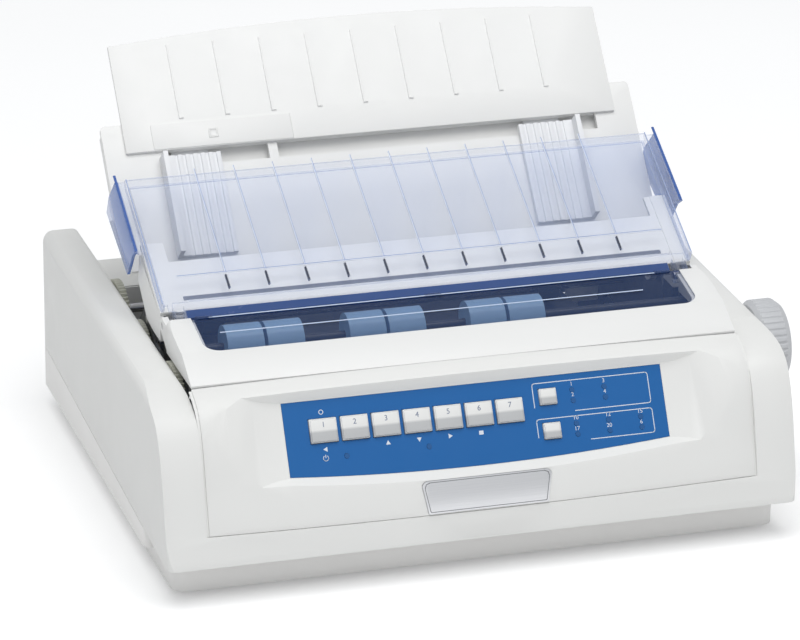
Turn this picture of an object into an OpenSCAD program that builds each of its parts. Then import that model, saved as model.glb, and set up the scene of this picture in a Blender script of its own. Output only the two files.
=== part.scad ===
// Narrow-carriage dot matrix printer with a hinged cover frame, a clear view
// cover and a tilting sheet guide.  X runs left to right, Y front to rear, Z up.
// The origin is on the desk plane, in the middle of the cabinet.

/* [Cabinet] */
// Width over both shoulders
cabinet_w = 398; // [390:1:410]
// Height of the shoulder tops above the desk
cabinet_h = 120.7; // [119:0.1:123]
// Rear face of the cabinet, behind the origin
cabinet_rear = 165; // [160:1:172]
// Wall of the cabinet moulding
cabinet_wall = 3; // [2:0.25:4]
// Radius along the outer edge of each shoulder
shoulder_round = 8; // [6:0.5:12]
// Radius along the inner edge of each shoulder
channel_round = 5; // [3:0.5:6]
// Width of one shoulder
shoulder_w = 25; // [22:0.5:27]
// Gap between the shoulders and the parts between them
channel_gap = 1.8; // [0.8:0.1:3]
// Bow of the front between its middle and its ends
front_bow = 5; // [3:0.5:7]

/* [Base pan] */
// Width of the pan below the cabinet
pan_w = 383; // [374:1:386]
// Front face of the pan, ahead of the origin
pan_front = 153; // [145:1:158]
// Wall of the pan
pan_wall = 2.5; // [2:0.25:3.5]
// Height of the rubber feet
foot_h = 3; // [2:0.5:5]
// Bottom edge of the side skirts above the desk
skirt_z = 15.5; // [12:0.5:19]
// Radius of the rubber feet
foot_r = 10; // [7:0.5:12]

/* [Control panel] */
// Width of the flat control overlay
overlay_w = 240; // [232:1:244]
// Height of the flat control overlay
overlay_h = 45; // [42:0.5:46]
// Lean of the overlay back from upright
overlay_lean = 29.2; // [27:0.2:31]
// Number of large keys
key_count = 7; // [3:1:7]
// Spacing of the large keys
key_pitch = 19.5; // [18.2:0.1:19.8]
// Width of a large key
key_w = 16.9; // [15:0.1:17.2]
// Height of a large key
key_h = 14.5; // [12:0.5:16]
// Width of a small key
small_key_w = 10.8; // [9:0.2:12]
// Height of a small key
small_key_h = 9.8; // [8:0.2:11]
// Travel of every key
key_travel = 1.5; // [0.8:0.1:2]

/* [Covers] */
// How far each edge of the window lies inside the side frame
window_inset = 9; // [8:0.5:14]
// Length of the clear view cover
view_l = 111; // [100:1:114]
// Lean of the view cover above level
view_lean = 27.6; // [26:0.2:29]
// Thickness of the clear plastic
view_t = 2; // [1.5:0.1:2.4]
// Number of fine ribs on the view cover
view_ribs = 11; // [5:2:13]
// Spacing of the fine ribs
view_rib_pitch = 25.3; // [15:0.1:26]

/* [Sheet guide] */
// Lean of the sheet guide above level
guide_lean = 48.5; // [46:0.5:51]
// Width of the sheet guide
guide_w = 351; // [345:1:351]
// Thickness of the sheet guide
guide_t = 3; // [2:0.25:3.5]
// Width of the sheet support on the guide
support_w = 324; // [300:1:330]
// Reach of the sheet support from the guide pivot, at its corners
support_reach = 184; // [170:1:190]
// Rise of the arched top edge in the middle
support_arch = 8.5; // [4:0.5:12]
// Number of ribs on the sheet support
support_ribs = 9; // [5:1:10]
// Spacing of the ribs on the sheet support
support_rib_pitch = 30.3; // [20:0.1:30.5]

/* [Paper feed] */
// Radius of the platen roller
platen_r = 18; // [16:0.5:18]
// Length of the platen roller
platen_l = 300; // [260:1:304]
// Radius of the platen shaft
platen_shaft_r = 5; // [4:0.25:6]
// Radius of the platen knob
knob_r = 27; // [22:0.5:28]
// Length of the platen knob
knob_l = 20; // [14:0.5:24]
// Module of the gears
gear_module = 1; // [1:0.01:1.02]
// Face width of the gears
gear_face = 4.5; // [3:0.25:4.7]
// Radius of the pull-up rollers
roller_r = 13.2; // [12:0.1:13.2]
// Radius of the tractor shaft
tractor_shaft_r = 4; // [3:0.25:5]

/* [Carriage] */
// Radius of the carriage shaft
carriage_shaft_r = 4; // [3:0.25:5]
// Length of the carriage along its shaft
carriage_l = 52; // [40:1:60]
// Radius of the print head
head_r = 12; // [9:0.5:12]

/* [Fits] */
// Gap between parts that move past each other
move_gap = 0.35; // [0.3:0.01:0.4]
// Radial gap of a shaft or pin that turns in its bore
shaft_gap = 0.05; // [0.02:0.01:0.1]

/* [Hidden] */
$fn = 48;

// Points of a smooth curve through those of p, with n spans between neighbours
function smooth(p, n) = concat([for (i = [0 : len(p) - 2], k = [0 : n - 1])
    let (a = p[max(i - 1, 0)], b = p[i], c = p[i + 1], d = p[min(i + 2, len(p) - 1)], t = k / n)
    (2 * b + (c - a) * t + (2 * a - 5 * b + 4 * c - d) * t * t + (3 * b - 3 * c + d - a) * t * t * t) / 2],
    [p[len(p) - 1]]);

// Cabinet outline seen from the side, from the front bottom edge over the top
cabinet_front = smooth([[-171, 24.6], [-165.8, 45], [-158, 77.5], [-149.5, 99], [-138, 111], [-110, 118.6],
                        [-70, cabinet_h]], 3);
// Middle of the bowed front seen from the side, from the cover seam down
panel_front = smooth([[-124, 122.6], [-135, 118.5], [-146, 112], [-153, 102], [-158.5, 87], [-163.5, 68],
                      [-168.5, 52], [-170.6, 43]], 2);
half_w = cabinet_w / 2;
shoulder_x = half_w - shoulder_w;
middle_x = shoulder_x - channel_gap;
// Inner face of the side frames, and the window between them
frame_x = middle_x - 6.2;
window_w = 2 * (frame_x - window_inset);
panel_wall = 3;
panel_foot_z = panel_front[len(panel_front) - 1][1];
panel_foot_y = panel_front[len(panel_front) - 1][0];
bow_radius = (shoulder_x * shoulder_x + front_bow * front_bow) / (2 * front_bow);
bow_centre = panel_foot_y + bow_radius;
bow_angle = asin((shoulder_x + 1) / bow_radius);
bow_fn = 1440;
pan_rear = cabinet_rear - 2;
pan_floor_z = foot_h + pan_wall;
edge_front_z = cabinet_front[0][1];
edge_rear_z = 43;
edge_slope = (edge_rear_z - edge_front_z) / (cabinet_rear - cabinet_front[0][0]);
deck_front = 114.5;
deck_z = 97;
inner_wall_foot = 80;
knob_hole_r = 8;

// Hinge shared by the cover frame and the view cover
hinge = [-52, 134];
hinge_pin_r = 2.5;
hinge_boss_r = 5.5;
cover_radius = 72.4;
cover_wall = 3;
cover_top = [[-124, 122.3], [-101, 134.5], [-63, 141.9]];
window_front = -101;
view_top = 9.2;
view_start = 4.2;
view_half = frame_x + 5;
view_end = view_start + view_l;
knuckle_in = window_w / 2 + 0.5;
knuckle_w = 7;
knuckle_r = 5;
wing_in = view_half + 5.2;
wing_t = 2;
wing_outline = [[53, view_top], [view_end - 3, view_top], [120, -11.5], [120, -26.5], [62, -20.5],
                [57.5, 1.5]];

// Sheet guide pivot and its own frame: along the guide, and out of its face
guide_pivot = [5, 117];
guide_pin_r = 3;
guide_face = -2;
guide_start = 32.5;
guide_end = 131;
guide_slot = [100, 110.6];
// Ends of the long slot, its post, and the depth of the channel behind it
slot_x = [-138, 149];
slot_post = -70;
channel_in = 3.8; // [3.6:0.1:5]
support_start = 110.5;
support_t = 2.5;
paper_guide_l = 68;
paper_guide_w = 36;
paper_guide_t = 4;
paper_guide_fin = 13;
paper_guide_u = 38;
paper_guide_x = [138.3, 131];
// Foot of each paper guide
guide_foot = [8, 28];

// Side frames of the chassis
frame_t = 2;
frame_outline = [[-141, pan_floor_z], [152, pan_floor_z], [152, 40], [108, 102], [30, 104],
                 [13, 120], [-3, 120], [-14, 108], [-38, 108], [-46.5, 134], [-57.5, 134],
                 [-62, 130.5], [-78, 130.5], [-92, 112], [-100, 84], [-141, 68]];

// Gear train on the left side frame, in the Y-Z plane
platen = [-76, 93];
platen_teeth = 50;
idler_teeth = 30;
transfer_teeth = 60;
pinion_teeth = 12;
idler_dir = -20;
pinion_dir = -60;
transfer_dir = 5;
gear_x = -frame_x - frame_t - 0.8;
function centre_gap(a, b) = gear_module * (a + b) / 2;
idler = platen + centre_gap(platen_teeth, idler_teeth) * [cos(idler_dir), sin(idler_dir)];
pinion = idler + centre_gap(idler_teeth, pinion_teeth) * [cos(pinion_dir), sin(pinion_dir)];
transfer = idler + centre_gap(idler_teeth, transfer_teeth) * [cos(transfer_dir), sin(transfer_dir)];
tractor = transfer + centre_gap(transfer_teeth, transfer_teeth) * [cos(transfer_dir), sin(transfer_dir)];
gear_pin_r = 3;
motor_shaft_r = 2.5;
feed_motor_r = 20;
feed_motor_l = 28;
tooth_backlash = 0.09;
rod = [98, 88];
rod_r = 3;
roller_dir = 79;
rollers = platen + (platen_r + roller_r + 0.4) * [cos(roller_dir), sin(roller_dir)];
roller_shaft_r = 2.5;
roller_w = 23;
roller_pair = 25.2;
roller_pitch = 76.8;
roller_first = -127;

// Carriage and its drive
rail_shaft = [-112, 58];
rail_rod = [-132, 40];
rail_rod_r = 3;
carriage_x = 95;
head_y = [-121, -104];
nose_r = 5;
nose_gap = 1.3;
belt_y = -98;
belt_z = 43;
belt_h = 6;
belt_t = 1.2;
pulley_r = 7.7;
pulley_x = 146;
carriage_motor_r = 17;

key_names = ["key_1", "key_2", "key_3", "key_4", "key_5", "key_6", "key_7"];
key_first_x = -96;
key_v = 3.7;
small_key_x = 46;
small_key_v = [9.7, -11.2];
key_rise = 2.2;
overlay_t = 0.6;
tray_t = 2.5;
flange_t = 2;
board_depth = 8;
board_t = 1.5;

plate_w = 82;
plate_h = 20;
plate_t = 1.5;
plate_z = 53.4;
plate_y = -168;
plate_lean = 16.4;

switch_x = -104;
switch_z = 66;

function unit(v) = v / norm(v);
function turned(v) = [v[1], -v[0]];
// A polyline moved sideways by t
function inset(p, t) = [for (i = [0 : len(p) - 1])
    let (a = p[max(i - 1, 0)], b = p[min(i + 1, len(p) - 1)]) p[i] + t * turned(unit(a - b))];
function reverse(p) = [for (i = [len(p) - 1 : -1 : 0]) p[i]];

// Extrude a Y-Z outline from x0 to x1
module along_x(x0, x1) {
    translate([x0, 0, 0]) rotate([90, 0, 90]) linear_extrude(x1 - x0) children();
}
// Extrude an X-Z outline from y0 to y1
module along_y(y0, y1) {
    translate([0, y1, 0]) rotate([90, 0, 0]) linear_extrude(y1 - y0) children();
}
// A bar along X at a place in the Y-Z plane
module bar_x(place, r, x0, x1) {
    translate([x0, place[0], place[1]]) rotate([0, 90, 0]) cylinder(r = r, h = x1 - x0);
}
module both_sides() {
    children();
    mirror([1, 0, 0]) children();
}
module box(low, high) {
    translate(low) cube(high - low);
}
// The bowed front: a side outline turned about a far upright axis
module bowed() {
    translate([0, bow_centre, 0]) rotate([0, 0, -90 - bow_angle])
        rotate_extrude(angle = 2 * bow_angle, $fn = bow_fn)
            mirror([1, 0]) translate([-bow_centre, 0]) children();
}
// Frame of the control overlay: X across, Y up its face, Z out of it
module on_overlay() {
    translate([0, -144.5, 90.25]) rotate([90 - overlay_lean, 0, 0]) children();
}
// Frame of the view cover: X across, Y along it, Z out of its top
module on_view_cover() {
    translate([0, hinge[0], hinge[1]]) rotate([view_lean, 0, 0]) children();
}
// Frame of the sheet guide: X across, Y along it, Z out of its front face
module on_guide() {
    translate([0, guide_pivot[0], guide_pivot[1]]) rotate([guide_lean, 0, 0]) children();
}
// Rounded rectangle with true arcs, from its two corners
module round_rect(low, high, r) {
    difference() {
        translate(low) square(high - low);
        for (sx = [0, 1], sy = [0, 1])
            translate([sx ? high[0] : low[0], sy ? high[1] : low[1]])
                mirror([sx, 0]) mirror([0, sy]) difference() {
                    translate([-1, -1]) square(r + 1);
                    translate([r, r]) circle(r);
                }
    }
}

// ---- Housing ----

// The whole outer form of the cabinet, shrunk by t
module cabinet_form(t) {
    top = cabinet_h - t;
    intersection() {
        along_x(-half_w + t, half_w - t)
            offset(delta = -t)
                polygon(concat([[-171, 0]], cabinet_front,
                               [[cabinet_rear, cabinet_h], [cabinet_rear, 0]]));
        along_y(-200, cabinet_rear)
            round_rect([-half_w + t, -40], [half_w - t, top], max(shoulder_round - t, 1));
        linear_extrude(top + 1)
            round_rect([-half_w + t, cabinet_front[0][0] + t], [half_w - t, cabinet_rear - t], 5.5 - t);
    }
}

module below_seam(drop) {
    z_front = edge_front_z - drop - 30 * edge_slope;
    z_rear = edge_rear_z - drop + 30 * edge_slope;
    along_x(-half_w - 5, half_w + 5)
        polygon([[cabinet_front[0][0] - 30, -20], [cabinet_front[0][0] - 30, z_front],
                 [cabinet_rear + 30, z_rear], [cabinet_rear + 30, -20]]);
}

boss_x = 184;
boss_ys = [-128, 148];
boss_split = 50;
boss_r = 5.5;

module cabinet() color([0.90, 0.90, 0.89]) difference() {
    union() {
        difference() {
            union() {
                difference() {
                    cabinet_form(0);
                    cabinet_form(cabinet_wall);
                }
                // Inner wall of each shoulder
                both_sides() intersection() {
                    cabinet_form(0);
                    along_x(shoulder_x, shoulder_x + cabinet_wall)
                        polygon([[-200, edge_front_z - 6], [-146, edge_front_z - 6], [-141, inner_wall_foot],
                                 [cabinet_rear, inner_wall_foot], [cabinet_rear, 200], [-200, 200]]);
                }
            }
            // Middle of the cabinet, open from the front foot to the rear deck
            box([-shoulder_x, -200, panel_foot_z - 0.5], [shoulder_x, deck_front, 200]);
            // Room above the rear deck
            box([-shoulder_x, deck_front - 1, deck_z], [shoulder_x, cabinet_rear + 1, 200]);
            // Rounded inner edge of each shoulder
            both_sides() translate([shoulder_x, -200, cabinet_h - channel_round])
                difference() {
                    translate([-1, 0, 0]) cube([channel_round + 1, cabinet_rear + 201, channel_round + 1]);
                    translate([channel_round, -1, 0]) rotate([-90, 0, 0])
                        cylinder(r = channel_round, h = cabinet_rear + 203);
                }
        }
        // Rear deck between the shoulders
        box([-shoulder_x - 1, deck_front, deck_z - cabinet_wall], [shoulder_x + 1, cabinet_rear - 1, deck_z]);
        // The chin under the front panel follows its bow
        translate([0, 0, edge_front_z + 1]) linear_extrude(panel_foot_z - edge_front_z - 1.5) intersection() {
            translate([0, bow_centre - 0.3]) circle(bow_radius, $fn = bow_fn);
            translate([-shoulder_x - 1, -175]) square([2 * shoulder_x + 2, 11]);
        }
        // Screw bosses that stand on those of the pan
        both_sides() for (y = boss_ys) {
            translate([boss_x, y, boss_split]) cylinder(r = boss_r, h = 58);
            box([boss_x, y - 1.5, boss_split], [half_w - 2, y + 1.5, boss_split + 58]);
        }
    }
    below_seam(0);
    both_sides() for (y = boss_ys)
        translate([boss_x, y, boss_split - 1]) cylinder(r = 1.5, h = 25);
    // Slot for fanfold paper in the rear wall
    box([-142, cabinet_rear - 10, 79.5], [142, cabinet_rear + 1, 91]);
    // Holes of the rear connectors and the switch
    for (c = connector_list) box([c[0] - c[1] / 2, cabinet_rear - 10, c[2] - c[3] / 2],
                                 [c[0] + c[1] / 2, cabinet_rear + 1, c[2] + c[3] / 2]);
    box([switch_x - 12.3, cabinet_rear - 10, switch_z - 9.3],
        [switch_x + 12.3, cabinet_rear + 1, switch_z + 9.3]);
    // Hole of the platen shaft
    bar_x(platen, knob_hole_r, shoulder_x - 5, half_w + 5);
    // Vents low in the rear wall
    for (i = [0 : 9]) box([-36 + i * 7, cabinet_rear - 10, 56], [-32.5 + i * 7, cabinet_rear + 1, 78]);
}

skirt_front = -112;
module base_pan() color([0.84, 0.83, 0.81]) {
    half = pan_w / 2;
    // Side skirts, level with the sides of the cabinet
    intersection() {
        both_sides() difference() {
            linear_extrude(60) difference() {
                round_rect([half - 20, skirt_front], [half_w, cabinet_rear], 5);
                translate([half - 21, skirt_front - 1]) square([19.5, cabinet_rear - skirt_front + 2]);
            }
            box([half - 30, skirt_front - 5, -1], [half_w + 5, cabinet_rear + 5, skirt_z]);
            box([half - 2, skirt_front + pan_wall, skirt_z + pan_wall],
                [half_w - pan_wall, cabinet_rear - pan_wall, 61]);
        }
        below_seam(0.6);
    }
    difference() {
        linear_extrude(60) round_rect([-half, -pan_front], [half, pan_rear], 8);
        translate([0, 0, pan_floor_z]) linear_extrude(80)
            round_rect([-half + pan_wall, -pan_front + pan_wall],
                       [half - pan_wall, pan_rear - pan_wall], 8 - pan_wall);
        // The lip above the seam stands inside the cabinet
        difference() {
            box([-210, cabinet_rear - cabinet_wall - 0.6, 0], [210, 210, 90]);
            below_seam(0.6);
        }
        box([-200, -200, -1], [200, 200, foot_h]);
        difference() {
            box([-210, -210, 0], [210, 210, 90]);
            below_seam(-8);
        }
        for (f = foot_places) translate([f[0], f[1], 0]) cylinder(r = foot_r + 0.2, h = foot_h + 1);
        // Louvres in the floor
        for (i = [0 : 11]) box([-40 + i * 12, 20, 0], [-34 + i * 12, 60, 30]);
        // Room of the cabinet's inner walls and screw bosses
        both_sides() box([shoulder_x - 0.5, -pan_front - 1, 25], [shoulder_x + cabinet_wall + 0.5, -pan_front + 5, 60]);
        box([-210, -210, boss_split - 0.3], [210, 210, 90]);
        // Wall behind the rear connectors is cut low
        box([-half + 20, pan_rear - 5, 32], [half - 20, pan_rear + 5, 90]);
    }
    both_sides() for (y = boss_ys) difference() {
        translate([boss_x, y, foot_h + 1]) cylinder(r = boss_r, h = boss_split - foot_h - 1);
        translate([boss_x, y, foot_h]) cylinder(r = 1.8, h = boss_split);
    }
    for (p = board_posts) translate([p[0], p[1], foot_h + 1]) cylinder(r = 3.5, h = board_z - foot_h - 1);
}

foot_places = [[-160, -128], [160, -128], [-160, 138], [160, 138]];
module rubber_feet() color([0.2, 0.2, 0.2]) for (f = foot_places) translate([f[0], f[1], 0]) {
    cylinder(r1 = foot_r - 1, r2 = foot_r, h = 1);
    translate([0, 0, 1]) cylinder(r = foot_r, h = foot_h);
}

// ---- Front panel and controls ----

recess_reach = 167;
recess_depth = 9;
// How far the lower edge bows down, and the run of the ledge under it
overlay_bow = 5; // [2:0.5:6]
ledge_run = 1.3; // [1:0.1:2]
// The scoop round the overlay: its ends rise in a curve, and its upper and lower edges slope out
module recess(grow) {
    half = overlay_w / 2 + 0.5;
    rise = [for (i = [0 : 8]) [half + 0.6 * grow + (recess_reach - half) * i / 8,
                               recess_depth * (1 - cos(22.5 * i)) / 2 - grow]];
    high = overlay_h / 2 + 0.4 + 0.6 * grow;
    on_overlay() intersection() {
        translate([0, -70, 0]) rotate([-90, 0, 0]) mirror([0, 1, 0]) linear_extrude(140)
            polygon(concat(rise, [[recess_reach + 12, recess_depth + 2 - grow], [recess_reach + 12, 40],
                                  [-recess_reach - 12, 40], [-recess_reach - 12, recess_depth + 2 - grow]],
                           [for (p = reverse(rise)) [-p[0], p[1]]]));
        rotate([90, 0, 90]) translate([0, 0, -220]) linear_extrude(440)
            polygon([[-80, -grow], [high, -grow], [high + 6, 6.2 - grow], [high + 30, 31], [-80, 31]]);
        // The lower edge follows the bowed edge of the overlay, and slopes out
        multmatrix([[1, 0, 0, 0], [0, 1, -ledge_run, 0], [0, 0, 1, -grow], [0, 0, 0, 1]])
            linear_extrude(32) polygon(concat([[190, 150], [-190, 150]],
                [for (p = bowed_edge(0.4 + 0.6 * grow)) p]));
    }
}
// The lower edge of the overlay, from left to right, moved out by a margin
function bowed_edge(margin) = concat([[-190, -overlay_h / 2 - margin]],
    [for (i = [-8 : 8]) [i * overlay_w / 16,
                         -overlay_h / 2 - margin - overlay_bow * (1 - i * i / 64)]],
    [[190, -overlay_h / 2 - margin]]);
module overlay_outline(margin) intersection() {
    half = overlay_w / 2 + margin;
    polygon(concat([[190, overlay_h / 2 + margin], [-190, overlay_h / 2 + margin]], bowed_edge(margin)));
    translate([-half, -60]) square([2 * half, 120]);
}

module front_panel() color([0.87, 0.87, 0.855]) {
    inner = inset(panel_front, panel_wall);
    difference() {
        intersection() {
            bowed() polygon(concat(panel_front, [[-156, panel_foot_z], [-150, 66], [-140, 90], [-126, 106], [-124, 119]]));
            box([-middle_x, -200, panel_foot_z], [middle_x, panel_front[0][0], 140]);
            union() {
                // Skin, and a wall along each side
                difference() {
                    box([-middle_x, -200, 0], [middle_x, 0, 140]);
                    bowed() polygon(concat(inner, [[-100, panel_foot_z - 9], [-60, 90], [-60, 140],
                                                   inner[0] + [0, 20]]));
                }
                both_sides() box([middle_x - panel_wall, -200, 0], [middle_x, 0, 140]);
                recess(tray_t + overlay_t);
            }
        }
        recess(0);
        // Seat of the overlay and the key holes through the floor
        on_overlay() translate([0, 0, -overlay_t]) linear_extrude(1)
            overlay_outline(0);
        on_overlay() translate([0, 0, -10]) linear_extrude(12) key_holes();
        // Pocket of the name plate
        on_plate() translate([0, 0, -1]) linear_extrude(10) plate_outline(0.2);
    }
    // Clips that hold the panel on the shoulder walls
    both_sides() for (c = [[-156, 62], [-138, 98]])
        box([middle_x - 1, c[0], c[1]], [shoulder_x, c[0] + 5, c[1] + 4]);
}

module key_holes() {
    for (i = [0 : key_count - 1]) translate([key_first_x + i * key_pitch, key_v])
        square([key_w + 2 * move_gap, key_h + 2 * move_gap], center = true);
    for (v = small_key_v) translate([small_key_x, v])
        square([small_key_w + 2 * move_gap, small_key_h + 2 * move_gap], center = true);
}

module control_overlay() color([0.22, 0.42, 0.67]) on_overlay() translate([0, 0, -overlay_t])
    linear_extrude(overlay_t) difference() {
        overlay_outline(-0.2);
        key_holes();
        for (p = lens_places) translate(p) circle(1.6);
    }

lens_places = concat([for (i = [0 : 1], j = [0 : 1]) [62 + i * 20.6, 12.3 - j * 6.5]],
                     [for (i = [0 : 2], j = [0 : 1]) [62 + i * 20.6, -8.3 - j * 6.5]],
                     [[-83.5, -12.8], [-32, -12.6]]);
module indicator_lenses() color([0.7, 0.85, 0.6]) on_overlay() for (p = lens_places)
    translate([p[0], p[1], -overlay_t]) cylinder(r = 1.5, h = overlay_t + 0.3);

// A sprung key: cap, body through the tray, and the flange that keeps it in
module key(x, v, w, h) {
    on_overlay() translate([x, v, 0]) {
        translate([-w / 2, -h / 2, -overlay_t - tray_t - 3]) cube([w, h, overlay_t + tray_t + 3 + key_rise - 0.6]);
        translate([-w / 2 + 0.6, -h / 2 + 0.6, key_rise - 0.7]) cube([w - 1.2, h - 1.2, 0.7]);
        translate([-w / 2, -h / 2 - 1.5, -overlay_t - tray_t - move_gap - flange_t])
            cube([w, h + 3, flange_t]);
    }
}
module large_key(i) color([0.93, 0.93, 0.92]) key(key_first_x + i * key_pitch, key_v, key_w, key_h);
module small_key(i) color([0.80, 0.80, 0.79]) key(small_key_x, small_key_v[i], small_key_w, small_key_h);

module panel_board() color([0.15, 0.4, 0.25]) on_overlay() {
    key_foot = overlay_t + tray_t + 3;
    top = -key_foot - key_travel - move_gap - 0.5;
    translate([-overlay_w / 2 + 4, -19, top - board_t]) cube([overlay_w - 8, 40, board_t]);
    for (i = [0 : key_count - 1]) translate([key_first_x + i * key_pitch, key_v, top]) cylinder(r = 3, h = 0.5);
    for (v = small_key_v) translate([small_key_x, v, top]) cylinder(r = 3, h = 0.5);
    // Posts up to the tray
    for (x = [-overlay_w / 2 + 6, 34.6, overlay_w / 2 - 7], v = [-15, 17]) translate([x, v, top])
        cylinder(r = 2.2, h = -overlay_t - tray_t - top);
}

// The bare plate under the controls
module on_plate() {
    translate([0, plate_y, plate_z]) rotate([90 - plate_lean, 0, 0]) children();
}
module plate_outline(grow) {
    w = plate_w / 2 + grow;
    h = plate_h / 2 + grow;
    intersection() {
        round_rect([-w, -h], [w, h], 4);
        polygon([[-w - 0.5, h + 1], [w + 0.5, h + 1], [w - 3.5, -h - 1], [-w + 3.5, -h - 1]]);
    }
}
module name_plate() color([0.84, 0.85, 0.87]) on_plate() {
    translate([0, 0, -1]) linear_extrude(plate_t) plate_outline(0);
}

// ---- Covers ----

module access_cover() color([0.93, 0.93, 0.925]) difference() {
    front = concat([[-130, 118.5]], cover_top);
    inner = inset(front, -cover_wall);
    intersection() {
        bar_x(hinge, cover_radius, -middle_x, middle_x);
        union() {
            intersection() {
                difference() {
                    along_x(-middle_x, middle_x) polygon(concat(front, [[-63, 121], [-123, 121], [-130, 112]]));
                    // Hollow under the frame, closed by the side skirts
                    along_x(-middle_x + cover_wall, middle_x - cover_wall)
                        polygon(concat(inner, [[-50, 138.8], [-50, 100], [-140, 100]]));
                    // Window, with rounded front corners
                    translate([0, 0, 100]) linear_extrude(60)
                        round_rect([-window_w / 2, window_front], [window_w / 2, 0], 10);
                }
                along_y(-140, -20) round_rect([-middle_x, 60], [middle_x, 141.9], 4);
            }
            // Rim that hangs from the edge of the window
            intersection() {
                along_x(-middle_x, middle_x) polygon(concat(front, [[-63, 121], [-123, 112]]));
                difference() {
                    translate([0, 0, rollers[1] + roller_shaft_r + 1]) linear_extrude(60)
                        round_rect([-window_w / 2 - 2, window_front - 2], [window_w / 2 + 2, 0], 12);
                    translate([0, 0, 100]) linear_extrude(90)
                        round_rect([-window_w / 2, window_front], [window_w / 2, 10], 10);
                }
            }
            // Ledge under the window pane
            intersection() {
                along_x(-middle_x, middle_x)
                    polygon([sunk([-104, 133.9], 1.78), sunk([-63, 141.9], 1.78), sunk([-63, 141.9], 3.2), sunk([-104, 133.9], 3.2)]);
                translate([0, 0, 100]) linear_extrude(60) difference() {
                    round_rect([-window_w / 2 - 1, window_front - 1], [window_w / 2 + 1, -50], 10);
                    round_rect([-window_w / 2 + 2, window_front + 2], [window_w / 2 - 2, -40], 8);
                }
            }
            // Ears that carry the frame on the hinge pins
            both_sides() {
                along_x(frame_x + frame_t + move_gap, middle_x)
                    polygon([[-66, 121], [-66, 138], [hinge[0], 139.4], [hinge[0], 128.6]]);
                bar_x(hinge, hinge_boss_r, frame_x + frame_t + move_gap, middle_x);
            }
        }
    }
    bar_x(hinge, hinge_pin_r + shaft_gap, -200, 200);
}

module cover_hinge_pins() color([0.6, 0.6, 0.62]) both_sides()
    bar_x(hinge, hinge_pin_r, knuckle_in - 0.4, middle_x - 0.3);

module view_cover() color([0.62, 0.72, 0.88]) on_view_cover() {
    difference() {
        union() {
            // Clear plate
            box([-view_half, view_start, view_top - view_t], [view_half, view_end - 3, view_top]);
            // Rounded lip along the rear edge
            translate([-view_half, view_end - 3, view_top - 3]) rotate([0, 90, 0]) cylinder(r = 3, h = 2 * view_half);
            // Band along the front edge
            box([-view_half + 6, view_start, view_top - 0.1], [view_half - 6, view_start + 5, view_top + 0.8]);
            // Fine ribs on the top
            for (i = [0 : view_ribs - 1]) let (x = (i - (view_ribs - 1) / 2) * view_rib_pitch)
                box([x - 0.5, 17, view_top - 0.1], [x + 0.5, view_end - 3, view_top + 0.5]);
            // Step across the ribs
            box([-157, 29.6, view_top - 0.1], [157, 30.8, view_top + 0.35]);
            both_sides() {
                // Side wall
                box([view_half - view_t, view_start + 4, view_top - 7], [view_half, view_end - 3, view_top - 0.1]);
                // Flange out to the wing, and the wing beside the sheet guide
                box([view_half - 0.1, wing_outline[0][0], view_top - view_t], [wing_in + 0.1, view_end - 3, view_top]);
                along_wing() polygon(wing_outline);
                // Hinge knuckle
                along_knuckle() {
                    circle(knuckle_r);
                    translate([-knuckle_r, 0]) square([knuckle_r + view_start + 4, view_top - 0.1]);
                }
            }
        }
        translate([-200, 0, 0]) rotate([0, 90, 0]) cylinder(r = hinge_pin_r + shaft_gap, h = 400);
        // Slits where the ribs end
        for (i = [0 : view_ribs - 1]) let (x = (i - (view_ribs - 1) / 2) * view_rib_pitch)
            box([x - 0.8, 18, view_top - 1], [x + 0.8, 29, view_top + 1]);
        // Groove behind the front band
        box([-154, 10.8, view_top - 1], [157, 13.2, view_top + 1]);
        // Corners that pass the ears of the cover frame
        both_sides() box([frame_x + 1.8, view_start - 1, 1], [view_half + 1, 9, view_top + 2]);
    }
}
module along_wing() translate([wing_in, 0, 0]) rotate([90, 0, 90]) linear_extrude(wing_t) children();
module along_knuckle() translate([knuckle_in, 0, 0]) rotate([90, 0, 90]) linear_extrude(knuckle_w) children();

// A point at a depth below the sloped top of the cover frame
function sunk(p, t) = p + t * [0.1911, -0.9816];
// Clear pane in the window of the cover frame, with two ridges and three tabs
module window_visor() color([0.25, 0.38, 0.68]) {
    rear = [-63.4, 141.82];
    intersection() {
        along_x(-window_w / 2, window_w / 2)
            polygon([sunk([-102, 134.3], 0.2), sunk(rear, 0.2), sunk(rear, 1.7), sunk([-102, 134.3], 1.7)]);
        linear_extrude(200)
            round_rect([-window_w / 2 + 0.1, window_front + 0.1], [window_w / 2 - 0.1, -40], 9.9);
    }
    along_x(-146, 140) polygon([sunk([-65.6, 141.4], 0.5), sunk([-65.6, 141.4], -0.5),
                                sunk([-64.2, 141.67], -0.5), sunk([-64.2, 141.67], 0.5)]);
    along_x(-143.7, 126.4) polygon([sunk([-83.2, 137.97], 0.5), sunk([-83.2, 137.97], -0.4),
                                    sunk([-82, 138.2], -0.4), sunk([-82, 138.2], 0.5)]);
    for (x = [-149, -4, 145]) box([x - 5, -66.5, 140.8], [x + 5, -62.2, 142.4]);
}

// ---- Sheet guide ----

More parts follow.
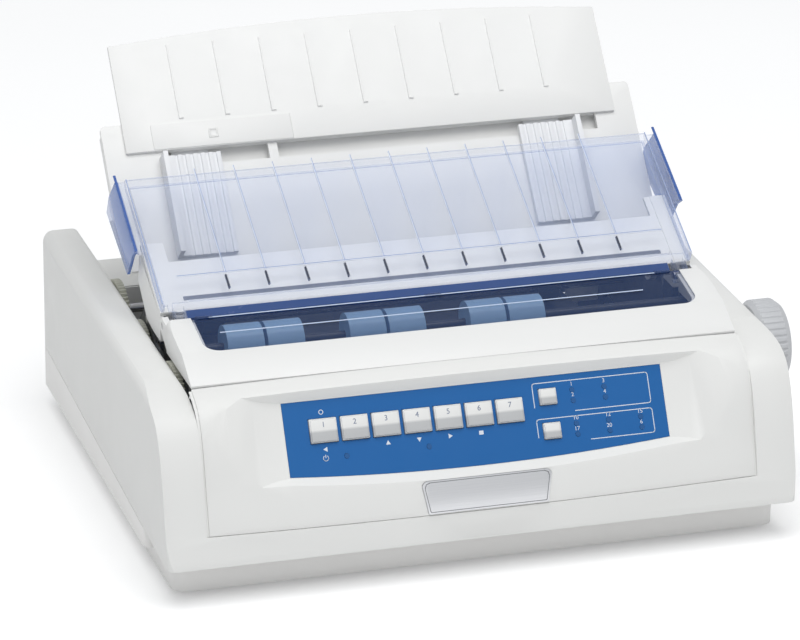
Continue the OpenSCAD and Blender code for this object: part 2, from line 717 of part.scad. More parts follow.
module sheet_guide() color([0.90, 0.90, 0.895]) on_guide() {
    low = guide_face - guide_t;
    difference() {
        union() {
            translate([0, 0, low]) linear_extrude(guide_t)
                round_rect([-guide_w / 2, guide_start], [guide_w / 2, guide_end], 3);
            // Stiffening edges turned to the rear
            both_sides() box([guide_w / 2 - 3, 60, low - 4], [guide_w / 2, guide_end - 6, low + 0.1]);
            box([-guide_w / 2 + 5, guide_end - 6, low - 4], [guide_w / 2 - 5, guide_end - 3, low + 0.1]);
            // Channel behind the long slot
            translate([0, 0, low - channel_in - 1.4]) linear_extrude(channel_in + 1.5) difference() {
                translate([slot_x[0] - 5, guide_slot[0] - 5]) square([slot_x[1] - slot_x[0] + 10, guide_slot[1] - guide_slot[0] + 10]);
                translate([slot_x[0] - 3.6, guide_slot[0] - 3.6])
                    square([slot_x[1] - slot_x[0] + 7.2, guide_slot[1] - guide_slot[0] + 7.2]);
            }
            box([slot_x[0] - 5, guide_slot[0] - 5, low - channel_in - 1.4],
                [slot_x[1] + 5, guide_slot[1] + 5, low - channel_in]);
            // Pivot arms
            both_sides() {
                box([160.5, 0, low], [165.2, guide_start + 8, guide_face]);
                translate([160.5, 0, 0]) rotate([0, 90, 0]) cylinder(r = 7, h = 4.7);
            }
        }
        translate([-200, 0, 0]) rotate([0, 90, 0]) cylinder(r = guide_pin_r + shaft_gap, h = 400);
        // Long slot that the paper guides run in, with one post
        box([slot_x[0], guide_slot[0], low - 1], [slot_post, guide_slot[1], guide_face + 1]);
        box([slot_post + 6, guide_slot[0], low - 1], [slot_x[1], guide_slot[1], guide_face + 1]);
        // Lower corners that pass the shoulders
        both_sides() box([guide_w / 2 - 4, guide_start - 1, low - 1], [guide_w / 2 + 1, 42, guide_face + 1]);
    }
}

module sheet_support() color([0.925, 0.925, 0.92]) on_guide() {
    half = support_w / 2;
    top = guide_face + support_t;
    arch_r = (half * half + support_arch * support_arch) / (2 * support_arch);
    translate([0, 0, guide_face]) linear_extrude(support_t) difference() {
        intersection() {
            round_rect([-half, support_start - 20], [half, support_reach + support_arch + 4], 14);
            translate([0, support_reach + support_arch - arch_r]) circle(arch_r, $fn = 720);
        }
        translate([-200, 0]) square([400, support_start]);
    }
    // Ribs, each with a short foot
    for (i = [0 : support_ribs - 1]) let (x = (i - (support_ribs - 1) / 2) * support_rib_pitch - 2.9) {
        box([x - 0.5, 131, top - 0.1], [x + 0.5, support_reach - 2, top + 1]);
        box([x - 0.5, 131, top - 0.1], [x + 2.6, 132.2, top + 1]);
    }
    // Raised field with a small square
    box([-144, support_start + 0.6, top - 0.1], [-53, 128, top + 0.5]);
    difference() {
        box([-107.5, 116.2, top + 0.3], [-101.5, 122.2, top + 0.9]);
        box([-106.6, 117.1, top + 0.5], [-102.4, 121.3, top + 1]);
    }
}

module guide_pivot_pins() color([0.6, 0.6, 0.62]) both_sides()
    bar_x(guide_pivot, guide_pin_r, 160, frame_x + frame_t);

module paper_guide() on_guide() translate([0, 0, guide_face + move_gap]) {
    difference() {
        box([0, paper_guide_u, 0], [paper_guide_w, paper_guide_u + paper_guide_l, paper_guide_t]);
        for (i = [0 : 5]) box([6 + i * 5, paper_guide_u - 1, paper_guide_t - 1],
                              [8 + i * 5, paper_guide_u + paper_guide_l + 1, paper_guide_t + 1]);
    }
    // Fin that stops the edge of the paper
    box([-3, paper_guide_u, 0], [0.1, paper_guide_u + paper_guide_l, paper_guide_fin]);
    // Foot through the slot, and the plate that keeps it there
    box([guide_foot[0], guide_slot[0] + move_gap, -guide_t - 2 * move_gap - 2],
        [guide_foot[1], guide_slot[0] + 5.4, 0.1]);
    box([guide_foot[0] - 2, guide_slot[0] - 2.6, -guide_t - 2 * move_gap - 2],
        [guide_foot[1] + 2, guide_slot[1] + 2.6, -guide_t - 2 * move_gap]);
}
module paper_guide_left() color([0.80, 0.81, 0.82]) translate([-paper_guide_x[0], 0, 0]) paper_guide();
module paper_guide_right() color([0.80, 0.81, 0.82]) translate([paper_guide_x[1], 0, 0]) mirror([1, 0, 0]) paper_guide();

// ---- Chassis ----

module side_frame(x0) {
    difference() {
        union() {
            along_x(x0, x0 + frame_t) difference() {
                union() {
                    polygon(frame_outline);
                    translate(hinge) circle(hinge_boss_r);
                    translate(guide_pivot) circle(8);
                }
                // Lightening holes
                translate([30, 50]) circle(20);
                translate([90, 50]) circle(16);
                translate([-72, 40]) circle(14);
            }
            // Foot flange on the pan floor
            box([x0 < 0 ? x0 : x0 - 12, -120, pan_floor_z], [x0 < 0 ? x0 + 14 : x0 + frame_t, 20, pan_floor_z + frame_t]);
        }
        bar_x(hinge, hinge_pin_r, x0 - 1, x0 + 9);
        bar_x(guide_pivot, guide_pin_r, x0 - 1, x0 + 9);
        bar_x(platen, platen_shaft_r + shaft_gap, x0 - 1, x0 + 9);
        bar_x(tractor, tractor_shaft_r + shaft_gap, x0 - 1, x0 + 9);
        bar_x(rollers, roller_shaft_r + shaft_gap, x0 - 1, x0 + 9);
        bar_x(rod, rod_r, x0 - 1, x0 + 9);
        bar_x(rail_shaft, carriage_shaft_r, x0 - 1, x0 + 9);
        bar_x(rail_rod, rail_rod_r, x0 - 1, x0 + 9);
    }
}
module side_frame_left() color([0.72, 0.73, 0.74]) difference() {
    side_frame(-frame_x - frame_t);
    bar_x(idler, gear_pin_r, -200, 0);
    bar_x(transfer, gear_pin_r, -200, 0);
    bar_x(pinion, 8, -200, 0);
}
module side_frame_right() color([0.72, 0.73, 0.74]) side_frame(frame_x);

chute_x = 132;
// Length of the deck under the view cover, from its hinge
chute_deck_l = 50; // [44:1:60]
module paper_chute() color([0.25, 0.27, 0.3]) {
    side = view_half + 0.3;
    gap = 1.5;
    t = 2;
    along_x(-chute_x, chute_x) {
        intersection() {
            translate(platen) difference() {
                circle(platen_r + gap + t);
                circle(platen_r + gap);
            }
            translate(platen) polygon([[0, 0], [-40, -14], [-40, -40], [40, -40], [40, -6]]);
        }
        polygon([[-56.3, 87.5], [-55.9, 90], [-48, 84], [112, 72], [112, 70], [-48, 82]]);
    }
    both_sides() box([chute_x - 1, 40, 70], [frame_x, 56, 75]);
    // Deck over the sheet path, under the view cover, with its side walls and legs
    on_view_cover() {
        difference() {
            union() {
                box([1.5 - knuckle_in, 3.2, -1.2], [knuckle_in - 1.5, 10, 1.2]);
                box([-side, 9, -1.2], [side, chute_deck_l, 1.2]);
            }
            // Slot behind the front band
            box([4.5 - knuckle_in, 10.8, -3], [knuckle_in - 4.5, 13.2, 3]);
        }
        // Turned-down rear edge
        box([1.5 - knuckle_in, chute_deck_l - 2.2, -7], [knuckle_in - 1.5, chute_deck_l, 0]);
        both_sides() {
            box([side - 14.3, chute_deck_l - 1, -1.2], [side, 66, 1.2]);
            box([side - 10.3, 9.2, 1.1], [side, 66, 1.7]);
        }
    }
    both_sides() {
        along_x(side - 2.2, side)
            polygon([[-44, 119], [-44, 137.2], [0, 154.6], [9, 158], [12, 140], [-9.6, 123]]);
        box([frame_x - 4, -40, 100], [frame_x, -22, 139.6]);
    }
}

// ---- Gears ----

function inv_r(r, base) = let (t = sqrt(max(r * r / (base * base) - 1, 0))) t * 180 / PI - atan(t);
// Half width of a tooth, in degrees, at radius r
function tooth_half(r, n, m) = let (base = m * n / 2 * cos(20))
    90 / n - tooth_backlash * 180 / PI / (m * n / 2) + inv_r(m * n / 2, base) - inv_r(max(r, base), base);
module gear_outline(n, phase) {
    m = gear_module;
    pitch = m * n / 2;
    radii = [pitch - 1.25 * m, max(pitch - 0.6 * m, pitch * cos(20)), pitch, pitch + 0.5 * m, pitch + 0.9 * m];
    polygon([for (i = [0 : n - 1]) each concat(
        [for (r = radii) r * [cos(phase + i * 360 / n - tooth_half(r, n, m)),
                              sin(phase + i * 360 / n - tooth_half(r, n, m))]],
        [for (r = reverse(radii)) r * [cos(phase + i * 360 / n + tooth_half(r, n, m)),
                                       sin(phase + i * 360 / n + tooth_half(r, n, m))]])]);
}
// Phase of a gear of nb teeth that meshes with one of na teeth, in direction dir from it
function mesh_phase(dir, phase, na, nb) = dir + 180 + 180 / nb - na / nb * (phase - dir);
idler_phase = mesh_phase(idler_dir, idler_dir, platen_teeth, idler_teeth);
pinion_phase = mesh_phase(pinion_dir, idler_phase, idler_teeth, pinion_teeth);
transfer_phase = mesh_phase(transfer_dir, idler_phase, idler_teeth, transfer_teeth);
tractor_phase = mesh_phase(transfer_dir, transfer_phase, transfer_teeth, transfer_teeth);

module gear(place, n, phase, bore, holes = 0) {
    along_x(gear_x - gear_face, gear_x) translate(place) difference() {
        gear_outline(n, phase);
        circle(bore);
        for (i = [1 : 1 : holes]) rotate(i * 360 / holes) translate([gear_module * n * 0.31, 0]) circle(gear_module * n * 0.1);
    }
}
module platen_gear() color([0.92, 0.92, 0.88]) gear(platen, platen_teeth, idler_dir, platen_shaft_r, 5);
module idler_gear() color([0.92, 0.92, 0.88]) gear(idler, idler_teeth, idler_phase, gear_pin_r + shaft_gap);
module transfer_gear() color([0.92, 0.92, 0.88]) gear(transfer, transfer_teeth, transfer_phase, gear_pin_r + shaft_gap, 5);
module tractor_gear() color([0.92, 0.92, 0.88]) gear(tractor, transfer_teeth, tractor_phase, tractor_shaft_r, 5);
module motor_pinion() color([0.75, 0.7, 0.5]) {
    gear(pinion, pinion_teeth, pinion_phase, motor_shaft_r - 0.5);
    bar_x(pinion, motor_shaft_r, gear_x - gear_face, -frame_x + feed_motor_l - 8);
}
module gear_pins() color([0.6, 0.6, 0.62]) for (p = [idler, transfer]) {
    bar_x(p, gear_pin_r, gear_x - gear_face - 0.4, -frame_x);
}
module feed_motor() color([0.35, 0.36, 0.38]) difference() {
    union() {
        bar_x(pinion, feed_motor_r, -frame_x, -frame_x + feed_motor_l);
        bar_x(pinion, 7, -frame_x - 0.6, -frame_x + 1);
    }
    bar_x(pinion, motor_shaft_r + shaft_gap, -200, -frame_x + feed_motor_l - 7);
}

// ---- Platen, rollers and tractors ----

module platen_shaft() color([0.65, 0.65, 0.67]) bar_x(platen, platen_shaft_r, gear_x - gear_face - 0.3, half_w + 2);
module platen_roller() color([0.12, 0.12, 0.13]) difference() {
    bar_x(platen, platen_r, -platen_l / 2, platen_l / 2);
    bar_x(platen, platen_shaft_r, -platen_l / 2 - 1, platen_l / 2 + 1);
}
knob_gap = 1;
knob_flutes = 40;
module platen_knob() color([0.82, 0.83, 0.84]) translate([half_w + knob_gap, platen[0], platen[1]])
    rotate([90, 0, 90]) difference() {
        intersection() {
            linear_extrude(knob_l) difference() {
                circle(knob_r);
                for (i = [0 : knob_flutes - 1]) rotate(i * 360 / knob_flutes) translate([knob_r + 0.6, 0]) circle(1.3, $fn = 16);
            }
            rotate_extrude() polygon([[0, 0], [knob_r - 3, 0], [knob_r, 3], [knob_r, knob_l - 4],
                                      [knob_r - 3, knob_l], [0, knob_l]]);
        }
        translate([0, 0, -1]) cylinder(r = platen_shaft_r, h = half_w + 2 - half_w - knob_gap + 1);
        translate([0, 0, knob_l - 1.5]) cylinder(r = knob_r - 8, h = 3);
    }

module pull_up_shaft() color([0.65, 0.65, 0.67]) bar_x(rollers, roller_shaft_r, -frame_x - frame_t, frame_x + frame_t);
module pull_up_rollers() color([0.45, 0.55, 0.7]) for (i = [0 : 2], j = [0 : 1]) {
    x = roller_first + i * roller_pitch + j * roller_pair;
    difference() {
        bar_x(rollers, roller_r, x - roller_w / 2, x + roller_w / 2);
        bar_x(rollers, roller_shaft_r, x - roller_w, x + roller_w);
    }
}

module tractor_shaft() color([0.65, 0.65, 0.67])
    bar_x(tractor, tractor_shaft_r, gear_x - gear_face - 0.3, frame_x + frame_t);
module tractor_rod() color([0.65, 0.65, 0.67]) bar_x(rod, rod_r, -frame_x - frame_t, frame_x + frame_t);
tractor_w = 14;
tractor_home = 112;
module tractor_unit() {
    low = tractor[1] - 10;
    difference() {
        union() {
            along_x(tractor_home - tractor_w / 2, tractor_home + tractor_w / 2)
                round_rect([tractor[0] - 11, low], [rod[0] + 11, tractor[1] + 10], 9);
            // Pins that drive the holes of the paper
            for (i = [0 : 3]) translate([tractor_home - 3, tractor[0] - 2 + i * 11, tractor[1] + 9])
                cylinder(r1 = 1.8, r2 = 1, h = 3.5);
        }
        bar_x(tractor, tractor_shaft_r + shaft_gap + 0.05, 0, 200);
        bar_x(rod, rod_r + shaft_gap + 0.05, 0, 200);
    }
}
module tractor_left() color([0.3, 0.32, 0.35]) mirror([1, 0, 0]) tractor_unit();
module tractor_right() color([0.3, 0.32, 0.35]) tractor_unit();

// ---- Carriage ----

module carriage_shaft() color([0.7, 0.7, 0.72]) bar_x(rail_shaft, carriage_shaft_r, -frame_x - frame_t, frame_x + frame_t);
module carriage_rail() color([0.7, 0.7, 0.72]) bar_x(rail_rod, rail_rod_r, -frame_x - frame_t, frame_x + frame_t);
module carriage() color([0.2, 0.21, 0.23]) {
    x0 = carriage_x - carriage_l / 2;
    x1 = carriage_x + carriage_l / 2;
    difference() {
        union() {
            along_x(x0, x1) polygon([[-122, 50.5], [-101, 50.5], [-101, 68], [-106, 80.5], [-122, 80.5]]);
            // Fork on the rail
            along_x(carriage_x - 10, carriage_x + 10)
                polygon([[-137.5, 34], [-126, 34], [-119, 51], [-119, 60], [-126, 60], [-137.5, 46]]);
            // Clamp on the belt
            box([carriage_x - 8, belt_y - pulley_r - 5, belt_z - 3], [carriage_x + 8, belt_y - pulley_r + 3.5, 51]);
        }
        bar_x(rail_shaft, carriage_shaft_r + shaft_gap, x0 - 1, x1 + 1);
        box([x0, rail_rod[0] - 20, rail_rod[1] - rail_rod_r - shaft_gap],
            [x1, rail_rod[0] + rail_rod_r + 1, rail_rod[1] + rail_rod_r + shaft_gap]);
        // Slot of the belt
        box([x0, belt_y - pulley_r - 0.3 - belt_t - move_gap, belt_z - move_gap],
            [x1, belt_y - pulley_r - 0.3 + move_gap, belt_z + belt_h + move_gap]);
    }
}
module print_head() color([0.5, 0.52, 0.55]) translate([carriage_x, 0, platen[1]]) {
    nose_y = platen[0] - platen_r - nose_gap;
    for (i = [0 : 4]) translate([0, head_y[0] + i * 3.8, 0]) rotate([-90, 0, 0]) cylinder(r = head_r, h = 1.8);
    translate([0, head_y[0], 0]) rotate([-90, 0, 0]) cylinder(r = head_r - 3, h = head_y[1] - head_y[0]);
    translate([0, head_y[1] - 1, 0]) rotate([-90, 0, 0]) cylinder(r1 = head_r - 3, r2 = nose_r, h = 5);
    translate([0, head_y[1] + 3, 0]) rotate([-90, 0, 0]) cylinder(r = nose_r, h = nose_y - head_y[1] - 3);
}
module ribbon_cartridge() color([0.1, 0.1, 0.11]) {
    translate([carriage_x, 0, platen[1] + head_r + 0.3]) linear_extrude(8)
        round_rect([-32, -120], [32, -99], 6);
    for (s = [-1, 1]) box([carriage_x + s * 20 - 4, -106, platen[1] - 7], [carriage_x + s * 20 + 4, -98, platen[1] + head_r + 1]);
}

// Closed belt round both pulleys
module belt_loop(r) {
    for (s = [-1, 1]) translate([s * pulley_x, belt_y]) circle(r);
    translate([-pulley_x, belt_y - r]) square([2 * pulley_x, 2 * r]);
}
module carriage_belt() color([0.12, 0.12, 0.12]) translate([0, 0, belt_z]) linear_extrude(belt_h) difference() {
    belt_loop(pulley_r + 0.3 + belt_t);
    belt_loop(pulley_r + 0.3);
}
module pulley_body() {
    translate([0, 0, belt_z - 1]) cylinder(r = pulley_r, h = belt_h + 2);
}
module drive_pulley() color([0.75, 0.7, 0.5]) translate([-pulley_x, belt_y, 0]) {
    pulley_body();
    translate([0, 0, 22]) cylinder(r = motor_shaft_r, h = belt_z - 20);
}
module tail_pulley() color([0.9, 0.9, 0.86]) translate([pulley_x, belt_y, 0]) difference() {
    pulley_body();
    cylinder(r = motor_shaft_r + shaft_gap, h = 80);
}
motor_top = 38;
module carriage_motor() color([0.35, 0.36, 0.38]) translate([-pulley_x, belt_y, 0]) difference() {
    union() {
        translate([0, 0, pan_floor_z + frame_t]) cylinder(r = carriage_motor_r, h = motor_top - pan_floor_z - frame_t);
        box([-carriage_motor_r - 2, -20, motor_top - 2], [20, 20, motor_top]);
    }
    translate([0, 0, 21]) cylinder(r = motor_shaft_r + shaft_gap, h = 60);
}
module tail_bracket() color([0.72, 0.73, 0.74]) {
    box([pulley_x - 11, belt_y - 9, motor_top - 1], [frame_x, belt_y + 9, motor_top + 1]);
    box([frame_x - 2, belt_y - 9, motor_top - 14], [frame_x, belt_y + 9, motor_top + 1]);
    translate([pulley_x, belt_y, motor_top]) cylinder(r = motor_shaft_r, h = belt_z + belt_h + 1 - motor_top);
    // Washer under the pulley
    translate([pulley_x, belt_y, motor_top]) cylinder(r = 5, h = belt_z - 1 - motor_top - 0.3);
}

// ---- Electronics ----

board_z = 14;
board_posts = [[-50, 70], [146, 70], [-50, 145], [146, 145]];
module main_board() color([0.1, 0.35, 0.2]) {
    box([-56, 64, board_z], [152, 151, board_z + 1.6]);
    for (c = [[0, 90, 30, 12], [60, 90, 24, 24], [110, 100, 30, 12], [10, 125, 18, 10], [80, 130, 34, 12]])
        box([c[0], c[1], board_z + 1.5], [c[0] + c[2], c[1] + c[3], board_z + 5]);
}
module power_supply() color([0.45, 0.42, 0.38]) {
    box([-156, 70, pan_floor_z], [-74, 150, pan_floor_z + 3]);
    box([-150, 80, pan_floor_z + 3], [-100, 140, pan_floor_z + 40]);
    box([-138, 76, pan_floor_z + 8], [-112, 144, pan_floor_z + 34]);
    for (y = [90, 112, 134]) translate([-84, y, pan_floor_z + 3]) cylinder(r = 7, h = 24);
}
// Rear connectors: middle x, width, middle z, height
connector_list = [[-148, 27, 66, 20], [64, 54, 66, 13], [20, 12, 66, 11]];
module rear_connectors() color([0.2, 0.2, 0.22]) for (c = connector_list) difference() {
    union() {
        box([c[0] - c[1] / 2 + 0.1, cabinet_rear - 14, c[2] - c[3] / 2 + 0.1],
            [c[0] + c[1] / 2 - 0.1, cabinet_rear - 0.5, c[2] + c[3] / 2 - 0.1]);
        box([c[0] - c[1] / 2 - 3, cabinet_rear - cabinet_wall - 2, c[2] - c[3] / 2 - 3],
            [c[0] + c[1] / 2 + 3, cabinet_rear - cabinet_wall, c[2] + c[3] / 2 + 3]);
    }
    difference() {
        box([c[0] - c[1] / 2 + 2, cabinet_rear - 11, c[2] - c[3] / 2 + 2],
            [c[0] + c[1] / 2 - 2, cabinet_rear + 1, c[2] + c[3] / 2 - 2]);
        box([c[0] - c[1] / 2 + 5, cabinet_rear - 12, c[2] - 1], [c[0] + c[1] / 2 - 5, cabinet_rear - 3, c[2] + 1]);
    }
}
// Rocker switch: the housing in the rear wall, and the rocker on its axle
rocker_axle = [cabinet_rear - 5, switch_z];
rocker_w = 18;
module switch_housing() color([0.12, 0.12, 0.13]) difference() {
    union() {
        box([switch_x - 12.2, cabinet_rear - 12, switch_z - 9.2], [switch_x + 12.2, cabinet_rear - 1, switch_z + 9.2]);
        box([switch_x - 14, cabinet_rear - cabinet_wall - 1.5, switch_z - 11],
            [switch_x + 14, cabinet_rear - cabinet_wall, switch_z + 11]);
    }
    box([switch_x - rocker_w / 2 - move_gap, cabinet_rear - 10, switch_z - 7.6],
        [switch_x + rocker_w / 2 + move_gap, cabinet_rear + 1, switch_z + 7.6]);
    bar_x(rocker_axle, 1.5 + shaft_gap, switch_x - 11.2, switch_x + 11.2);
}
module power_switch() color([0.15, 0.15, 0.16]) {
    along_x(switch_x - rocker_w / 2, switch_x + rocker_w / 2)
        polygon([[cabinet_rear + 1, switch_z - 6], [cabinet_rear, switch_z], [cabinet_rear + 1, switch_z + 6],
                 [cabinet_rear - 6, switch_z + 4.6], [cabinet_rear - 6, switch_z - 4.6]]);
    bar_x(rocker_axle, 3, switch_x - rocker_w / 2, switch_x + rocker_w / 2);
    bar_x(rocker_axle, 1.5, switch_x - rocker_w / 2 - 2, switch_x + rocker_w / 2 + 2);
}

base_pan();
rubber_feet();
cabinet();
front_panel();
control_overlay();
indicator_lenses();
panel_board();
name_plate();
for (i = [0 : key_count - 1]) large_key(i);
small_key(0);  // mode_key_upper
small_key(1);  // mode_key_lower
access_cover();
view_cover();
cover_hinge_pins();
window_visor();
sheet_guide();
sheet_support();
guide_pivot_pins();
paper_guide_left();
paper_guide_right();
side_frame_left();
side_frame_right();
paper_chute();
platen_shaft();
platen_roller();
platen_knob();
platen_gear();
idler_gear();
transfer_gear();
gear_pins();
motor_pinion();
feed_motor();
tractor_shaft();
tractor_gear();
tractor_rod();
tractor_left();
tractor_right();
pull_up_shaft();
pull_up_rollers();
carriage_shaft();
carriage_rail();
carriage();
print_head();
ribbon_cartridge();
carriage_belt();
drive_pulley();
tail_pulley();
carriage_motor();
tail_bracket();
main_board();
power_supply();
rear_connectors();
switch_housing();
power_switch();
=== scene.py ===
"""Dresses a dot matrix printer: finishes for its mouldings, and small pieces that its solids leave out."""

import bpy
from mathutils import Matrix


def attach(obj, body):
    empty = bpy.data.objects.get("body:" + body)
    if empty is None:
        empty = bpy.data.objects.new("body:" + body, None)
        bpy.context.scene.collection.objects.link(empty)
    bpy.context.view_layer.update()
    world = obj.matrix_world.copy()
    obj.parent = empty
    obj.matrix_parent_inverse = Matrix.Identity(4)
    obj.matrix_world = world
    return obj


bl_info = {
    "name": "Dot Matrix Printer",
    "version": (1, 0, 0),
    "blender": (4, 5, 0),
    "location": "3D View > Sidebar > Printer",
    "description": "Builds the finishes, panel print, lamps and stage of a dot matrix printer",
    "category": "Object",
}

import math

import bmesh
import bpy
from bpy.props import FloatProperty, FloatVectorProperty, PointerProperty
from mathutils import Matrix, Vector

MM = 0.001
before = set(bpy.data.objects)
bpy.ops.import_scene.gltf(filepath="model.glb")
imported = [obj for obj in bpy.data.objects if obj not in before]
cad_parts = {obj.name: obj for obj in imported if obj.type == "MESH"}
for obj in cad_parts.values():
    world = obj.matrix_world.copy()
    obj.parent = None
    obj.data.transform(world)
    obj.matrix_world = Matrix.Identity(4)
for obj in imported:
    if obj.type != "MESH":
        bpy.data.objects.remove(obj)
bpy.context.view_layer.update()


# ---------------------------------------------------------------- places on the printer


# Frame of the control overlay: middle of its face, up its face, and out of it
OVERLAY_LEAN = math.radians(29.2)
OVERLAY_MIDDLE = Vector((0, -144.5, 90.25)) * MM
OVERLAY_UP = Vector((0, math.sin(OVERLAY_LEAN), math.cos(OVERLAY_LEAN)))
OVERLAY_OUT = Vector((0, -math.cos(OVERLAY_LEAN), math.sin(OVERLAY_LEAN)))

# Frame of the view cover: its hinge, along it to the rear, and out of its face
VIEW_LEAN = math.radians(27.6)
VIEW_HINGE = Vector((0, -52, 134)) * MM
VIEW_ALONG = Vector((0, math.cos(VIEW_LEAN), math.sin(VIEW_LEAN)))
VIEW_OUT = Vector((0, -math.sin(VIEW_LEAN), math.cos(VIEW_LEAN)))

# The sizes below are in mm. The bare plate: its middle, back and up, and its lean from level
PLATE_MIDDLE = (-168, 53.4)
PLATE_LEAN = math.radians(90 - 16.4)

# Plane 0.2 over the window's pane: back and up at one place of it, and its rise to the rear
PANE_PLACE, PANE_HEIGHT, PANE_SLOPE = -65.6, 141.4, 0.1933

REAR_WALL = 165
PAN_UNDERSIDE = 3
SOCKET_HEIGHT = 66

# Side profile of the front panel from its foot to its head, back and up, and the gap at each side
PANEL_SIDE = (
    (-166.0, 42.5), (-165.7, 43.4), (-164.6, 47.9), (-163.0, 53.8), (-160.6, 61.5), (-158.6, 68),
    (-156.1, 77.6), (-153.6, 87), (-151.7, 92.6), (-149.5, 98.5), (-147.3, 103.4), (-144.9, 107.5),
    (-141.1, 112), (-135.8, 115.6), (-130.0, 118.5), (-125.5, 120.2), (-123.9, 120.8))
PANEL_GAP = 173.1

# Across the overlay: middles of the large keys. Across the view cover: its ribs
KEY_PLACES = [-96 + 19.5 * k for k in range(7)]
RIB_PLACES = [(k - 5) * 25.3 for k in range(11)]

# Radii of small moulded edges, in metres
KEY_ROUND = 0.0004
SMALL_ROUND = 0.0003
PLATE_ROUND = 0.0002


# ---------------------------------------------------------------- settings


class PrinterColours(bpy.types.PropertyGroup):
    """Colours of the mouldings and of the print."""

    housing: FloatVectorProperty(
        name="Housing", description="Light moulded plastic of the cabinet",
        subtype="COLOR", size=4, min=0, max=1, default=(0.815, 0.815, 0.80, 1))
    covers: FloatVectorProperty(
        name="Covers", description="White plastic of the cover frame and sheet guide",
        subtype="COLOR", size=4, min=0, max=1, default=(0.845, 0.845, 0.835, 1))
    pan: FloatVectorProperty(
        name="Pan", description="Plastic of the base pan",
        subtype="COLOR", size=4, min=0, max=1, default=(0.89, 0.88, 0.865, 1))
    panel: FloatVectorProperty(
        name="Panel", description="Blue film of the control panel",
        subtype="COLOR", size=4, min=0, max=1, default=(0.012, 0.125, 0.382, 1))
    tint: FloatVectorProperty(
        name="Tint", description="Blue tint of the view cover",
        subtype="COLOR", size=4, min=0, max=1, default=(0.50, 0.60, 0.88, 1))


class PrinterSizes(bpy.types.PropertyGroup):
    """Sizes of the finish and of the studio."""

    edge_round: FloatProperty(
        name="Edge round", description="Radius of the moulded edges",
        unit="LENGTH", min=0.0001, max=0.003, default=0.0007)
    grain_size: FloatProperty(
        name="Grain size", description="Size of one grain of the moulded texture",
        unit="LENGTH", min=0.0001, max=0.002, default=0.0005)
    key_light: FloatProperty(
        name="Key light", description="Power of the main soft lamp",
        unit="POWER", min=0, max=200, default=40)
    floor_reach: FloatProperty(
        name="Floor", description="Half width of the floor",
        unit="LENGTH", min=2, max=20, default=8)


def colours():
    """The colours that a user can change."""
    return bpy.context.scene.printer_colours


def sizes():
    """The sizes that a user can change."""
    return bpy.context.scene.printer_sizes


# ---------------------------------------------------------------- shader groups


def new_group(name, inputs, outputs):
    """An empty shader group; inputs are (name, socket type, default), and outputs (name, socket type)."""
    group = bpy.data.node_groups.new(name, "ShaderNodeTree")
    for label, kind, default in inputs:
        socket = group.interface.new_socket(label, in_out="INPUT", socket_type=kind)
        socket.default_value = default
    for label, kind in outputs:
        group.interface.new_socket(label, in_out="OUTPUT", socket_type=kind)
    return group, group.nodes.new("NodeGroupInput"), group.nodes.new("NodeGroupOutput")


def add_node(tree, kind, **values):
    """A node with properties set, and sockets set where a key starts with in_."""
    node = tree.nodes.new(kind)
    for key, value in values.items():
        if key.startswith("in_"):
            node.inputs[key[3:].replace("_", " ")].default_value = value
        else:
            setattr(node, key, value)
    return node


def mix_colour(tree, factor, first, second, blend="MIX"):
    """The output of a colour mix; each argument is a socket or a plain value."""
    node = tree.nodes.new("ShaderNodeMix")
    node.data_type = "RGBA"
    node.blend_type = blend
    for index, value in ((0, factor), (6, first), (7, second)):
        if isinstance(value, bpy.types.NodeSocket):
            tree.links.new(value, node.inputs[index])
        else:
            node.inputs[index].default_value = value
    return node.outputs[2]


def map_range(tree, value, low, high):
    """A 0 to 1 value spread between low and high."""
    node = add_node(tree, "ShaderNodeMapRange", in_To_Min=low, in_To_Max=high)
    tree.links.new(value, node.inputs["Value"])
    return node.outputs["Result"]


def threshold(tree, value, start, end):
    """A value that goes from 0 to 1 as another goes from start to end."""
    node = add_node(tree, "ShaderNodeMapRange", in_From_Min=start, in_From_Max=end)
    tree.links.new(value, node.inputs["Value"])
    return node.outputs["Result"]


SURFACE_OUTPUTS = [("Colour", "NodeSocketColor"), ("Roughness", "NodeSocketFloat"),
                   ("Height", "NodeSocketFloat")]


